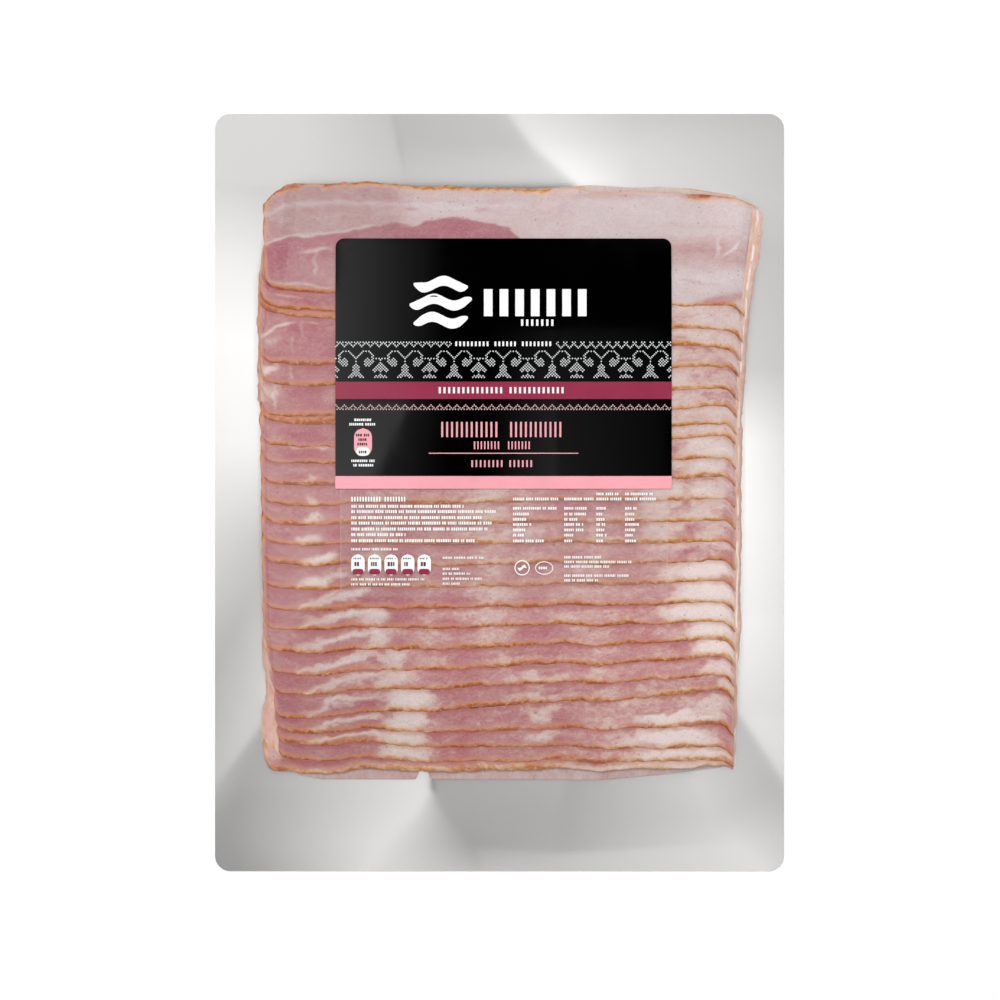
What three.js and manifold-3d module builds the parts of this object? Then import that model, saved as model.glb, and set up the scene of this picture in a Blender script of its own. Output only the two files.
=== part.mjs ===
// A flat vacuum pack of sliced smoked bacon, lying face up on a table.
//
// A rectangle of silver-grey backing film carries two layers of long slices, laid like roof
// tiles so that only the lower strip of each slice shows. A clear film is drawn down tightly
// over them and welded to the backing all round, so pack and slices are one sealed body. A
// printed label and, below it, a clear panel of small print are stuck across the top.
//
// Millimetres, +Z up. The origin is on the table under the middle of the pack. The slices run
// along X, and the slice that lies uppermost is at the +Y end.
import * as THREE from "three";
import { mergeVertices } from "three/addons/utils/BufferGeometryUtils.js";
import Module from "manifold-3d";

// The backing film, with the clear film welded to it.
const PACK_WIDTH = 281;
const PACK_LENGTH = 374;
const PACK_CORNER = 7.5;
const BACKING_THICKNESS = 0.4;

// One slice. It is a little wider at its right end than at its left.
const SLICE_WIDTH_LEFT = 54.2;
const SLICE_WIDTH_RIGHT = 57.1;
const SLICE_WIDTH = (SLICE_WIDTH_LEFT + SLICE_WIDTH_RIGHT) / 2;
const SLICE_THICKNESS = 1.45;
const SLICE_CORNER = { x: 4, y: 4 };
const TOP_SLICE_CORNER = { x: 11, y: 17 };

// How far each slice shows below the one that lies on it, near the left and the right end.
const SHOWN_LEFT = [
  8.9, 3.0, 23.7, 10.4, 15.3, 3.5, 11.4, 8.4, 10.4, 9.9, 9.9, 9.9,
  9.9, 11.6, 10.4, 9.6, 11.4, 10.7, 9.5, 11.9, 7.1, 5.7, 8.0, 6.2,
];
const SHOWN_RIGHT = [
  11.8, 9.0, 9.9, 10.9, 8.8, 8.5, 6.0, 10.9, 9.1, 10.4, 10.9, 10.4,
  9.9, 9.9, 10.4, 9.5, 8.9, 9.0, 9.0, 8.0, 16.5, 10.8, 6.7, 3.0,
];
const GAUGE_LEFT = -98.5;
const GAUGE_RIGHT = 99;
const TOP_EDGE_LEFT = 99;
const TOP_EDGE_RIGHT = 91.8;
const SLICE_COUNT = SHOWN_LEFT.length + 1;
const MEAN_SHOWN = 9.7;

// Where the slices end, and how their lower edges run.
const LEFT_END = -119.8;
const LEFT_DRIFT = 0.3;
const TOP_INSET = 5;
const TOP_INSET_SLICES = 2;
const RIGHT_END = 119.8;
const RIGHT_DRIFT = 0.1;
const TOP_REACH = 3;
const TOP_REACH_SLICES = 5;
const LEFT_RISE = 2.4;
const LEFT_RISE_REACH = 9;
const RIGHT_DROP = 3.6;
const RIGHT_DROP_REACH = 7;
const RIPPLE = { depth: 0.55, length: 62, turn: 0.35 };
const FINE_RIPPLE = { depth: 0.3, length: 24, turn: 0.6 };
const EDGE_STEPS = 18;
const CORNER_STEPS = 5;

// The lower layer, which shows as a ledge on the right and at the lower left corner.
const UNDER = { left: -117.3, right: 116.3, top: 151, bottom: -142 };
const UNDER_LOW_LEFT = { x: -107, y: -138.8 };
const UNDER_LEDGE = { low: -131, high: -104 };
const UNDER_INNER_LEFT = { x: -112, y: -95 };
const UNDER_FLAT_BOTTOM = { left: -85, right: 45 };
const UNDER_LOW_RIGHT = { x: 110, y: -135.2 };
const UNDER_WAIST = { x: 119.2, y: 40 };
const UNDER_SHOULDER = { x: 129.9, y: 127 };
const UNDER_TOP_RIGHT = { x: 123.5, y: 144.5 };
const UNDER_TOP_LEFT = -100;
const UNDER_CURVE_STEPS = 6;

// The label and the clear panel below it.
const LABEL = { left: -80.7, right: 84.7, top: 125.2, bottom: 1.8 };
const PANEL = { left: -78, right: 82.4, top: 1.4, bottom: -51.6 };
const LABEL_CORNER = 5.5;
const LABEL_THICKNESS = 0.3;
const LABEL_GAP = 0.3;

const COLOURS = {
  backing: 0xc9c8c6,
  bacon: 0xc79390,
  label: 0x0c0c0d,
  panel: 0xe8dcda,
};

// Of the slices that lie on one another at any place, the share that lifts a slice's lower edge.
const FULL_RISE = (SLICE_WIDTH / MEAN_SHOWN - 1) * SLICE_THICKNESS;
const LAYER_HEIGHT = FULL_RISE + SLICE_THICKNESS;

const wasm = await Module();
wasm.setup();

/** A closed geometry as a solid that can be joined and cut. */
function solidOf(geometry) {
  const bare = geometry.clone();
  bare.deleteAttribute("normal");
  bare.deleteAttribute("uv");
  const merged = mergeVertices(bare, 1e-4);
  return new wasm.Manifold(
    new wasm.Mesh({
      numProp: 3,
      vertProperties: merged.getAttribute("position").array,
      triVerts: new Uint32Array(merged.index.array),
    }),
  );
}

/** A joined or cut solid as a geometry again. */
function geometryOf(solid) {
  const { vertProperties, triVerts } = solid.getMesh();
  const geometry = new THREE.BufferGeometry();
  geometry.setAttribute("position", new THREE.BufferAttribute(vertProperties, 3));
  geometry.setIndex(new THREE.BufferAttribute(triVerts, 1));
  geometry.computeVertexNormals();
  return geometry;
}

/** Upright walls round a plan, from bottom to the height that topAt(x, y) gives. */
function wallsUnder(plan, bottom, topAt) {
  const geometry = new THREE.ExtrudeGeometry(new THREE.Shape(plan), {
    depth: 1,
    bevelEnabled: false,
  });
  const position = geometry.getAttribute("position");
  for (let i = 0; i < position.count; i++) {
    const upper = position.getZ(i) > 0.5;
    position.setZ(i, upper ? topAt(position.getX(i), position.getY(i)) : bottom);
  }
  return geometry;
}

/** A quarter of an ellipse round a centre, anticlockwise from the angle given. */
function quarter(x, y, radius, from) {
  return Array.from({ length: CORNER_STEPS + 1 }, (_, i) => {
    const angle = from + (Math.PI / 2) * (i / CORNER_STEPS);
    return new THREE.Vector2(x + radius.x * Math.cos(angle), y + radius.y * Math.sin(angle));
  });
}

/** A rectangle's plan. Its upper and its lower corners each have a radius, which may be none. */
function roundedPlan({ left, right, top, bottom }, upperRadius, lowerRadius) {
  const corners = [
    { x: right, y: bottom, radius: lowerRadius, from: -Math.PI / 2, inX: -1, inY: 1 },
    { x: right, y: top, radius: upperRadius, from: 0, inX: -1, inY: -1 },
    { x: left, y: top, radius: upperRadius, from: Math.PI / 2, inX: 1, inY: -1 },
    { x: left, y: bottom, radius: lowerRadius, from: Math.PI, inX: 1, inY: 1 },
  ];
  return corners.flatMap(({ x, y, radius, from, inX, inY }) =>
    radius > 0
      ? quarter(x + inX * radius, y + inY * radius, { x: radius, y: radius }, from)
      : [new THREE.Vector2(x, y)],
  );
}

const sum = (list, count) => list.slice(0, count).reduce((a, b) => a + b, 0);

/** The straight line along a slice's lower edge, without its ripples and ends. */
function chord(index, x) {
  const left = TOP_EDGE_LEFT - sum(SHOWN_LEFT, index);
  const right = TOP_EDGE_RIGHT - sum(SHOWN_RIGHT, index);
  return THREE.MathUtils.mapLinear(x, GAUGE_LEFT, GAUGE_RIGHT, left, right);
}

/** The width of a slice along its length. */
function widthAt(x) {
  return THREE.MathUtils.mapLinear(
    x,
    GAUGE_LEFT,
    GAUGE_RIGHT,
    SLICE_WIDTH_LEFT,
    SLICE_WIDTH_RIGHT,
  );
}

/** Where a slice begins and ends along X. The top slices are laid a little to the right. */
function ends(index) {
  const inset = TOP_INSET * Math.max(0, 1 - index / TOP_INSET_SLICES);
  const reach = TOP_REACH * Math.max(0, 1 - index / TOP_REACH_SLICES);
  return {
    left: LEFT_END + LEFT_DRIFT * index + inset,
    right: RIGHT_END - RIGHT_DRIFT * index + reach,
  };
}

function ripple({ depth, length, turn }, index, x) {
  return depth * Math.sin((2 * Math.PI * x) / length + turn * index);
}

/** A slice's true lower edge: rippled, lifted at its left end and dragged down at its right. */
function lowerEdge(index, x) {
  const { left, right } = ends(index);
  const rise = LEFT_RISE * Math.exp((left - x) / LEFT_RISE_REACH);
  const drop = RIGHT_DROP * THREE.MathUtils.smoothstep(x, right - RIGHT_DROP_REACH, right);
  return (
    chord(index, x) + rise - drop + ripple(RIPPLE, index, x) + ripple(FINE_RIPPLE, index, x)
  );
}

/** A slice seen from above, anticlockwise from the left end of its lower edge. */
function slicePlan(index) {
  const { left, right } = ends(index);
  const start = left + SLICE_CORNER.x;
  const lower = Array.from({ length: EDGE_STEPS + 1 }, (_, i) => {
    const x = THREE.MathUtils.lerp(start, right, i / EDGE_STEPS);
    return new THREE.Vector2(x, lowerEdge(index, x));
  });
  const upper = index === 0 ? TOP_SLICE_CORNER : SLICE_CORNER;
  const upperRight = chord(index, right) + widthAt(right) - SLICE_CORNER.y;
  const upperLeft = chord(index, left) + widthAt(left) - upper.y;
  const lowerLeft = lower[0].y + SLICE_CORNER.y;
  return [
    ...lower,
    ...quarter(right - SLICE_CORNER.x, upperRight, SLICE_CORNER, 0),
    ...quarter(left + upper.x, upperLeft, upper, Math.PI / 2),
    ...quarter(start, lowerLeft, SLICE_CORNER, Math.PI).slice(0, -1),
  ];
}

/** The top of the lower layer: level in the middle, and down to one slice at both ends. */
function underTop(y) {
  const fromTop = (UNDER.top - y) / SLICE_WIDTH;
  const fromBottom = (y - UNDER.bottom) / SLICE_WIDTH;
  const share = THREE.MathUtils.clamp(Math.min(fromTop, fromBottom), 0, 1);
  return BACKING_THICKNESS + SLICE_THICKNESS + FULL_RISE * share;
}

/** The top of a slice. Its upper edge lies on the lower layer, its lower edge on the slices below. */
function sliceTop(index, x, y) {
  const edge = chord(index, x);
  const carriers = Math.min(SLICE_COUNT - 1 - index, SLICE_WIDTH / MEAN_SHOWN - 1);
  const crest = underTop(edge) + carriers * SLICE_THICKNESS + SLICE_THICKNESS;
  const foot = underTop(edge + SLICE_WIDTH) + SLICE_THICKNESS;
  const share = THREE.MathUtils.clamp((y - edge) / SLICE_WIDTH, 0, 1);
  return THREE.MathUtils.lerp(crest, foot, share);
}

/** The lower layer seen from above: it reaches out at the lower left and the upper right. */
function underPlan() {
  const { left, right, top, bottom } = UNDER;
  const flat = UNDER_FLAT_BOTTOM;
  const plan = new THREE.Shape();
  plan.moveTo(UNDER_LOW_LEFT.x, UNDER_LOW_LEFT.y);
  plan.quadraticCurveTo(flat.left - SLICE_CORNER.x, bottom, flat.left, bottom);
  plan.lineTo(flat.right, bottom);
  plan.quadraticCurveTo(right / 2 + flat.right / 2, bottom, UNDER_LOW_RIGHT.x, UNDER_LOW_RIGHT.y);
  plan.quadraticCurveTo(right, UNDER_LOW_RIGHT.y, right, UNDER_LOW_RIGHT.y + SLICE_CORNER.y);
  plan.lineTo(UNDER_WAIST.x, UNDER_WAIST.y);
  plan.quadraticCurveTo(
    UNDER_WAIST.x + SLICE_CORNER.x,
    (UNDER_WAIST.y + UNDER_SHOULDER.y) / 2,
    UNDER_SHOULDER.x,
    UNDER_SHOULDER.y,
  );
  plan.quadraticCurveTo(
    UNDER_SHOULDER.x,
    UNDER_TOP_RIGHT.y,
    UNDER_TOP_RIGHT.x,
    UNDER_TOP_RIGHT.y,
  );
  plan.quadraticCurveTo(UNDER_TOP_RIGHT.x / 2, top + 1, 0, top);
  plan.lineTo(UNDER_TOP_LEFT, top);
  plan.lineTo(UNDER_INNER_LEFT.x, UNDER_INNER_LEFT.y);
  plan.lineTo(left, UNDER_LEDGE.high);
  plan.lineTo(left, UNDER_LEDGE.low);
  plan.quadraticCurveTo(left, UNDER_LOW_LEFT.y, UNDER_LOW_LEFT.x, UNDER_LOW_LEFT.y);
  return plan.getPoints(UNDER_CURVE_STEPS);
}

/** Both layers of slices with the clear film drawn down over them: one body with no hollow. */
function sealedBacon() {
  const lower = solidOf(wallsUnder(underPlan(), BACKING_THICKNESS, (x, y) => underTop(y)));
  const slices = Array.from({ length: SLICE_COUNT }, (_, index) =>
    solidOf(
      wallsUnder(slicePlan(index), BACKING_THICKNESS, (x, y) => sliceTop(index, x, y)),
    ),
  );
  return geometryOf(slices.reduce((joined, slice) => joined.add(slice), lower));
}

/** The backing film: a flat sheet with round corners. */
function backingFilm() {
  const sheet = {
    left: -PACK_WIDTH / 2,
    right: PACK_WIDTH / 2,
    top: PACK_LENGTH / 2,
    bottom: -PACK_LENGTH / 2,
  };
  const plan = roundedPlan(sheet, PACK_CORNER, PACK_CORNER);
  return wallsUnder(plan, 0, () => BACKING_THICKNESS);
}

/** A sheet that lies on the slope of the top slice and on the crests of those below it. */
function drapedSheet(field, upperRadius) {
  const crest = underTop(0) + FULL_RISE + SLICE_THICKNESS + LABEL_GAP;
  const ridge = chord(0, 0);
  const foot = sliceTop(0, GAUGE_RIGHT, chord(0, GAUGE_RIGHT) + SLICE_WIDTH) + LABEL_GAP;
  const under = [
    new THREE.Vector2(-PACK_LENGTH, crest),
    new THREE.Vector2(0, crest),
    new THREE.Vector2(SLICE_WIDTH, foot),
  ];
  const over = under.map(({ x, y }) => new THREE.Vector2(x, y + LABEL_THICKNESS)).reverse();
  const bent = new THREE.ExtrudeGeometry(new THREE.Shape([...under, ...over]), {
    depth: PACK_WIDTH,
    bevelEnabled: false,
  });
  // The profile runs along Y and Z, and is extruded along X.
  bent.translate(0, 0, -PACK_WIDTH / 2);
  bent.applyMatrix4(new THREE.Matrix4().set(0, 0, 1, 0, 1, 0, 0, 0, 0, 1, 0, 0, 0, 0, 0, 1));
  bent.rotateZ(Math.atan2(TOP_EDGE_RIGHT - TOP_EDGE_LEFT, GAUGE_RIGHT - GAUGE_LEFT));
  bent.translate(0, ridge, 0);
  const column = wallsUnder(roundedPlan(field, upperRadius, 0), 0, () => 2 * LAYER_HEIGHT + crest);
  return geometryOf(solidOf(bent).intersect(solidOf(column)));
}

function part(name, geometry, colour, roughness, metalness = 0) {
  const material = new THREE.MeshStandardMaterial({ color: colour, roughness, metalness });
  const mesh = new THREE.Mesh(geometry, material);
  mesh.name = name;
  return mesh;
}

const pack = new THREE.Group();
pack.add(
  part("backing_film", backingFilm(), COLOURS.backing, 0.3, 0.6),
  part("sealed_bacon", sealedBacon(), COLOURS.bacon, 0.25),
  part("label", drapedSheet(LABEL, LABEL_CORNER), COLOURS.label, 0.3),
  part("info_panel", drapedSheet(PANEL, 0), COLOURS.panel, 0.2),
);

export default pack;
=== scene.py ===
"""A flat vacuum pack of smoked bacon, seen from straight above on a white table.

The slices, the clear film over them, the silver backing and the printed label are built here as
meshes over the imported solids. Lengths in this script are millimetres unless a name says otherwise.
"""

import math

import bpy
import numpy as np
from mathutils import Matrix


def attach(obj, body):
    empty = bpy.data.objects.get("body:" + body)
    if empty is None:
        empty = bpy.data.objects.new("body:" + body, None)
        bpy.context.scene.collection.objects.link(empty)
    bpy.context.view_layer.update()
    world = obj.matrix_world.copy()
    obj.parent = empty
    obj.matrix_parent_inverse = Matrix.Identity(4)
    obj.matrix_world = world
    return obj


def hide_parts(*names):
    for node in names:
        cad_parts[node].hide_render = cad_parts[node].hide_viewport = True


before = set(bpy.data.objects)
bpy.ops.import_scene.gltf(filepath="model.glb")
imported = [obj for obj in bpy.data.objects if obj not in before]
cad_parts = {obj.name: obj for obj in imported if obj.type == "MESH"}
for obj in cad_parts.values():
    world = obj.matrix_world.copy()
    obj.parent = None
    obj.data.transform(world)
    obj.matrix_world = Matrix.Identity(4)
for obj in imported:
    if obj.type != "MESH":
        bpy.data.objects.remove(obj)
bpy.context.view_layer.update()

MM = 0.001

# The photograph's frame: its scale on the pack's plane, and the pack's centre in it.
MM_PER_PIXEL = 0.494
CENTRE_PX = (499.5, 492.5)
FRAME_PX = 1000
CAMERA_HEIGHT = 4000.0
SENSOR = 36.0

# Sizes taken over from the solids.
PACK_WIDTH = 281.0
PACK_LENGTH = 374.0
PACK_CORNER = 7.5
BACKING = 0.4
THICKNESS = 1.45
SHOWN_LEFT = (
    8.9, 3.0, 23.7, 10.4, 15.3, 3.5, 11.4, 8.4, 10.4, 9.9, 9.9, 9.9,
    9.9, 11.6, 10.4, 9.6, 11.4, 10.7, 9.5, 11.9, 7.1, 5.7, 8.0, 6.2,
)
SHOWN_RIGHT = (
    11.8, 9.0, 9.9, 10.9, 8.8, 8.5, 6.0, 10.9, 9.1, 10.4, 10.9, 10.4,
    9.9, 9.9, 10.4, 9.5, 8.9, 9.0, 9.0, 8.0, 16.5, 10.8, 6.7, 3.0,
)
GAUGE = (-98.5, 99.0)
TOP_EDGE = (99.0, 91.8)
SLICE_WIDTH = (54.2, 57.1)
MEAN_WIDTH = sum(SLICE_WIDTH) / 2
MEAN_SHOWN = 9.7
SLICES = len(SHOWN_LEFT) + 1
CARRIERS = MEAN_WIDTH / MEAN_SHOWN - 1
FULL_RISE = CARRIERS * THICKNESS
UNDER_TOP = 151.0
UNDER_BOTTOM = -142.0
LABEL = {"left": -80.7, "right": 84.7, "top": 125.2, "bottom": 1.8}
PANEL = {"left": -78.0, "right": 82.4, "top": 1.4, "bottom": -51.6}
LABEL_CORNER = 4.2


def linear(red, green, blue):
    """A colour given as 0 to 255 in sRGB, as Blender's linear colour."""
    def channel(value):
        value = value / 255
        return value / 12.92 if value <= 0.04045 else ((value + 0.055) / 1.055) ** 2.4
    return (channel(red), channel(green), channel(blue), 1.0)


def from_px(px, py):
    """A place in the photograph's frame as x and y on the pack."""
    return (px - CENTRE_PX[0]) * MM_PER_PIXEL, (CENTRE_PX[1] - py) * MM_PER_PIXEL


def to_px(x, y):
    """A place on the pack in the photograph's frame."""
    return x / MM_PER_PIXEL + CENTRE_PX[0], CENTRE_PX[1] - y / MM_PER_PIXEL


def table_at(table, x):
    """The value at x of a table of places and values, in straight lines between them."""
    return np.interp(x, *zip(*table))


def smoothstep(low, high, value):
    share = np.clip((value - low) / (high - low), 0, 1)
    return share * share * (3 - 2 * share)


def lerp(a, b, share):
    return a + (b - a) * share


def cloud(x, y, seed):
    """Smooth uneven noise between -1 and 1, with cells one unit wide."""
    column, row = np.floor(x), np.floor(y)
    across, up = x - column, y - row
    across, up = across * across * (3 - 2 * across), up * up * (3 - 2 * up)

    def corner(column, row):
        value = np.sin(column * 12.9898 + row * 78.233 + seed * 37.719) * 43758.5453
        return 2 * (value - np.floor(value)) - 1

    below = lerp(corner(column, row), corner(column + 1, row), across)
    above = lerp(corner(column, row + 1), corner(column + 1, row + 1), across)
    return lerp(below, above, up)


# Meshes


def grid_faces(rows, columns, first=0):
    """The faces of a grid of vertices that is stored row by row."""
    index = first + np.arange(rows * columns).reshape(rows, columns)
    return np.stack(
        [index[:-1, :-1], index[:-1, 1:], index[1:, 1:], index[1:, :-1]], axis=-1
    ).reshape(-1, 4)


def add_object(name, data):
    """A new object of the scene, from a mesh, a light or a camera."""
    made = bpy.data.objects.new(name, data)
    bpy.context.scene.collection.objects.link(made)
    return made


def add_piece(name, points, faces, material, replaced, attributes=None, normals=None):
    """A mesh piece of the pack, from points in millimetres and four-cornered faces.

    Normals, where given, hold for the first vertices, and the others keep their own.
    """
    mesh = bpy.data.meshes.new(name)
    mesh.from_pydata((np.asarray(points, dtype=float) * MM).tolist(), [], faces.tolist())
    for key, values in (attributes or {}).items():
        values = np.asarray(values, dtype=np.float32)
        kind = "FLOAT" if values.ndim == 1 else "FLOAT_VECTOR"
        layer = mesh.attributes.new(key, kind, "POINT")
        layer.data.foreach_set("value" if kind == "FLOAT" else "vector", values.ravel())
    mesh.polygons.foreach_set("use_smooth", [True] * len(mesh.polygons))
    mesh.materials.append(material)
    mesh.update()
    if normals is not None:
        every = np.zeros((len(points), 3))
        every[:len(normals)] = normals
        mesh.normals_split_custom_set_from_vertices(every.tolist())
    piece = add_object(name, mesh)
    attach(piece, "root")
    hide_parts(replaced)
    return piece


# Materials


class Shader:
    """A material's node graph, with short calls for the nodes used here."""

    def __init__(self, name):
        self.material = bpy.data.materials.new(name)
        self.material.use_nodes = True
        self.tree = self.material.node_tree
        self.tree.nodes.clear()
        self.output = self.node("ShaderNodeOutputMaterial")

    def node(self, kind, inputs=None, **settings):
        made = self.tree.nodes.new(kind)
        for key, value in settings.items():
            setattr(made, key, value)
        for key, value in (inputs or {}).items():
            self.feed(made.inputs[key], value)
        return made

    def feed(self, socket, value):
        if isinstance(value, bpy.types.NodeSocket):
            self.tree.links.new(value, socket)
        else:
            socket.default_value = value

    def math(self, operation, *values, clamp=False):
        made = self.node("ShaderNodeMath", operation=operation, use_clamp=clamp)
        for socket, value in zip(made.inputs, values):
            self.feed(socket, value)
        return made.outputs[0]

    def ramp_value(self, value, low, high, out_low=0.0, out_high=1.0):
        made = self.node("ShaderNodeMapRange", interpolation_type="SMOOTHSTEP")
        for key, number in zip((0, 1, 2, 3, 4), (value, low, high, out_low, out_high)):
            self.feed(made.inputs[key], number)
        return made.outputs[0]

    def colours(self, value, stops):
        made = self.node("ShaderNodeValToRGB", inputs={0: value})
        ramp = made.color_ramp
        ramp.elements[0].position, ramp.elements[0].color = stops[0]
        ramp.elements[1].position, ramp.elements[1].color = stops[-1]
        for position, colour in stops[1:-1]:
            ramp.elements.new(position).color = colour
        return made.outputs[0]

    def mix(self, share, first, second, blend="MIX"):
        made = self.node("ShaderNodeMix", data_type="RGBA", blend_type=blend)
        for key, value in ((0, share), (6, first), (7, second)):
            self.feed(made.inputs[key], value)
        return made.outputs[2]

    def place(self):
        return self.node("ShaderNodeTexCoord").outputs["Object"]

    def attribute(self, name, output="Fac"):
        return self.node("ShaderNodeAttribute", attribute_name=name).outputs[output]

    def scaled(self, vector, factors):
        made = self.node("ShaderNodeVectorMath", operation="MULTIPLY")
        self.feed(made.inputs[0], vector)
        self.feed(made.inputs[1], factors)
        return made.outputs[0]

    def noise(self, vector, scale, detail=3.0, roughness=0.5, distortion=0.0):
        """Noise round zero, from about -0.5 to 0.5."""
        made = self.node(
            "ShaderNodeTexNoise",
            inputs={
                "Vector": vector,
                "Scale": scale,
                "Detail": detail,
                "Roughness": roughness,
                "Distortion": distortion,
            },
        )
        return self.math("SUBTRACT", made.outputs[0], 0.5)

    def bump(self, height, strength, distance):
        made = self.node(
            "ShaderNodeBump",
            inputs={"Height": height, "Strength": strength, "Distance": distance},
        )
        return made.outputs[0]

    def principled(self, **inputs):
        names = {key.replace("_", " "): value for key, value in inputs.items()}
        made = self.node("ShaderNodeBsdfPrincipled", inputs=names)
        self.finish(made.outputs[0])
        return self.material

    def blended(self, share, first, second):
        """The material that shows the first shader, and a share of the second."""
        made = self.node("ShaderNodeMixShader", inputs={0: share, 1: first, 2: second})
        return self.finish(made.outputs[0])

    def finish(self, surface):
        self.tree.links.new(surface, self.output.inputs[0])
        return self.material


MEAT_SHADE = 0.92


def meat_tone(red, green, blue):
    """A colour of the meat, darkened so that it comes out right in light that whitens the table."""
    return tuple(channel * MEAT_SHADE for channel in linear(red, green, blue)[:3]) + (1.0,)


FAT_STOPS = (
    (0.00, meat_tone(171, 96, 107)),
    (0.20, meat_tone(182, 117, 122)),
    (0.34, meat_tone(189, 136, 135)),
    (0.45, meat_tone(199, 155, 150)),
    (0.56, meat_tone(210, 177, 171)),
    (0.70, meat_tone(217, 193, 188)),
    (1.00, meat_tone(229, 212, 208)),
)


COOL_TINT = (0.935, 0.99, 1.05, 1.0)


def flesh(shader, meat, grain, middle, fine):
    """Fat and lean with marbling and thin veins: the colour, and how fat it is."""
    names = ("fat", "dim", "cool", "coarse")
    fat, dim, cool, coarse = (shader.attribute(name) for name in names)
    mottle = shader.math("MULTIPLY", shader.noise(grain, 0.12, distortion=0.8), 1.2)
    wisps = shader.noise(shader.scaled(meat, (0.4, 1.0, 1.0)), 0.5, detail=4.0, distortion=1.2)
    for part, share in ((middle, 1.0), (wisps, 0.6), (fine, 0.2)):
        mottle = shader.math("MULTIPLY_ADD", part, share, mottle)
    level = shader.math("MULTIPLY_ADD", mottle, coarse, fat)
    position = shader.math("MULTIPLY_ADD", level, 0.5, 0.5, clamp=True)
    colour = shader.colours(position, FAT_STOPS)
    fatness = shader.ramp_value(level, -0.15, 0.25)
    # The veins are pale in the lean and darker in the fat.
    ridge = shader.math("ABSOLUTE", shader.noise(grain, 0.25, distortion=1.8))
    vein = shader.ramp_value(ridge, 0.0, 0.035, 1.0, 0.0)
    vein_colour = shader.mix(fatness, meat_tone(216, 182, 177), meat_tone(196, 150, 142))
    colour = shader.mix(shader.math("MULTIPLY", vein, 0.25), colour, vein_colour)
    grit = shader.math("MULTIPLY_ADD", fine, 0.4, dim)
    colour = shader.mix(1.0, colour, grit, blend="MULTIPLY")
    return shader.mix(cool, colour, COOL_TINT, blend="MULTIPLY"), fatness


# The tones of the smoked rim from the widest to the narrowest: the distances where each is full
# and gone, its share, whether it comes and goes, and its colours in lean and fat.
RIM_TONES = (
    (0.8, 4.1, 0.6, False, (214, 151, 115), (224, 184, 142)),
    (0.9, 2.3, 0.95, True, (193, 119, 74), (205, 142, 84)),
    (0.5, 1.35, 0.85, True, (157, 81, 46), (176, 104, 52)),
)


def smoked(shader, colour, fatness, meat, grain, middle, fine):
    """A painted shade beside the slice above, peach ends, a smoked rim from warm to dark brown, and
    painted glints on the rim.
    """
    rim, painted_shade_gap, side = (shader.attribute(name) for name in ("rim", "painted_shade_gap", "side"))

    def tone(lean, fat):
        return shader.mix(fatness, meat_tone(*lean), meat_tone(*fat))

    # Painted shade: a darker tone on the meat just below the edge of the slice above, broken by noise.
    painted_shade_distance = shader.math("MULTIPLY_ADD", middle, 2.0, painted_shade_gap)
    shade = shader.ramp_value(painted_shade_distance, 0.0, 2.6, 0.5, 0.0)
    colour = shader.mix(shade, colour, tone((170, 94, 90), (196, 146, 132)))
    border = shader.math("MULTIPLY_ADD", middle, 3.0, side)
    peach = shader.ramp_value(border, 0.3, 3.2, 0.62, 0.0)
    colour = shader.mix(peach, colour, meat_tone(226, 168, 142))
    edge = shader.math("MULTIPLY_ADD", fine, 0.9, rim)
    edge = shader.math("MULTIPLY_ADD", middle, 2.6, edge)
    patchy = shader.ramp_value(shader.noise(grain, 0.25), -0.14, 0.08, 0.3, 1.0)
    shares = []
    for full, gone, share, broken, lean, fat in RIM_TONES:
        shown_share = shader.ramp_value(edge, full, gone, share, 0.0)
        if broken:
            shown_share = shader.math("MULTIPLY", shown_share, patchy)
        shares.append(shown_share)
        colour = shader.mix(shown_share, colour, tone(lean, fat))
    # Painted glints: small golden highlights on the tan part of the rim
    painted_glint = shader.ramp_value(shader.noise(meat, 0.5), 0.02, 0.14, 0.0, 0.4)
    painted_glint = shader.math("MULTIPLY", painted_glint, shares[1])
    return shader.mix(painted_glint, colour, meat_tone(234, 190, 122))


PORE_CELLS = 0.45
PORE_SIZE = 0.19
PORE_DEPTH = 0.45


def pored(shader, colour, meat):
    """Small dark pores of uneven size."""
    cells = shader.node("ShaderNodeTexVoronoi", inputs={"Vector": meat, "Scale": PORE_CELLS})
    chosen = shader.node("ShaderNodeSeparateColor", inputs={0: cells.outputs["Color"]})
    size = shader.ramp_value(chosen.outputs[0], 0.55, 1.0, 0.0, PORE_SIZE)
    speck = shader.math("LESS_THAN", cells.outputs["Distance"], size)
    return shader.mix(shader.math("MULTIPLY", speck, PORE_DEPTH), colour, meat_tone(122, 66, 60))


def bacon_material():
    """Moist cured pork. The mesh says where fat lies; noise breaks its borders and marbles it."""
    shader = Shader("bacon")
    meat = shader.attribute("meat", "Vector")
    grain = shader.scaled(meat, (0.6, 1.0, 1.0))
    middle = shader.noise(grain, 0.45, detail=4.0, roughness=0.6, distortion=0.7)
    fine = shader.noise(meat, 1.3, roughness=0.65)
    colour, fatness = flesh(shader, meat, grain, middle, fine)
    colour = smoked(shader, colour, fatness, meat, grain, middle, fine)
    relief = shader.math("MULTIPLY_ADD", fine, 0.5, middle)
    return shader.principled(
        Base_Color=pored(shader, colour, meat),
        Roughness=shader.ramp_value(fatness, 0.0, 1.0, 0.42, 0.34),
        Specular_IOR_Level=0.35,
        Normal=shader.bump(relief, 0.22, 0.0005),
    )


FILM_SHEEN = 0.075


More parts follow.
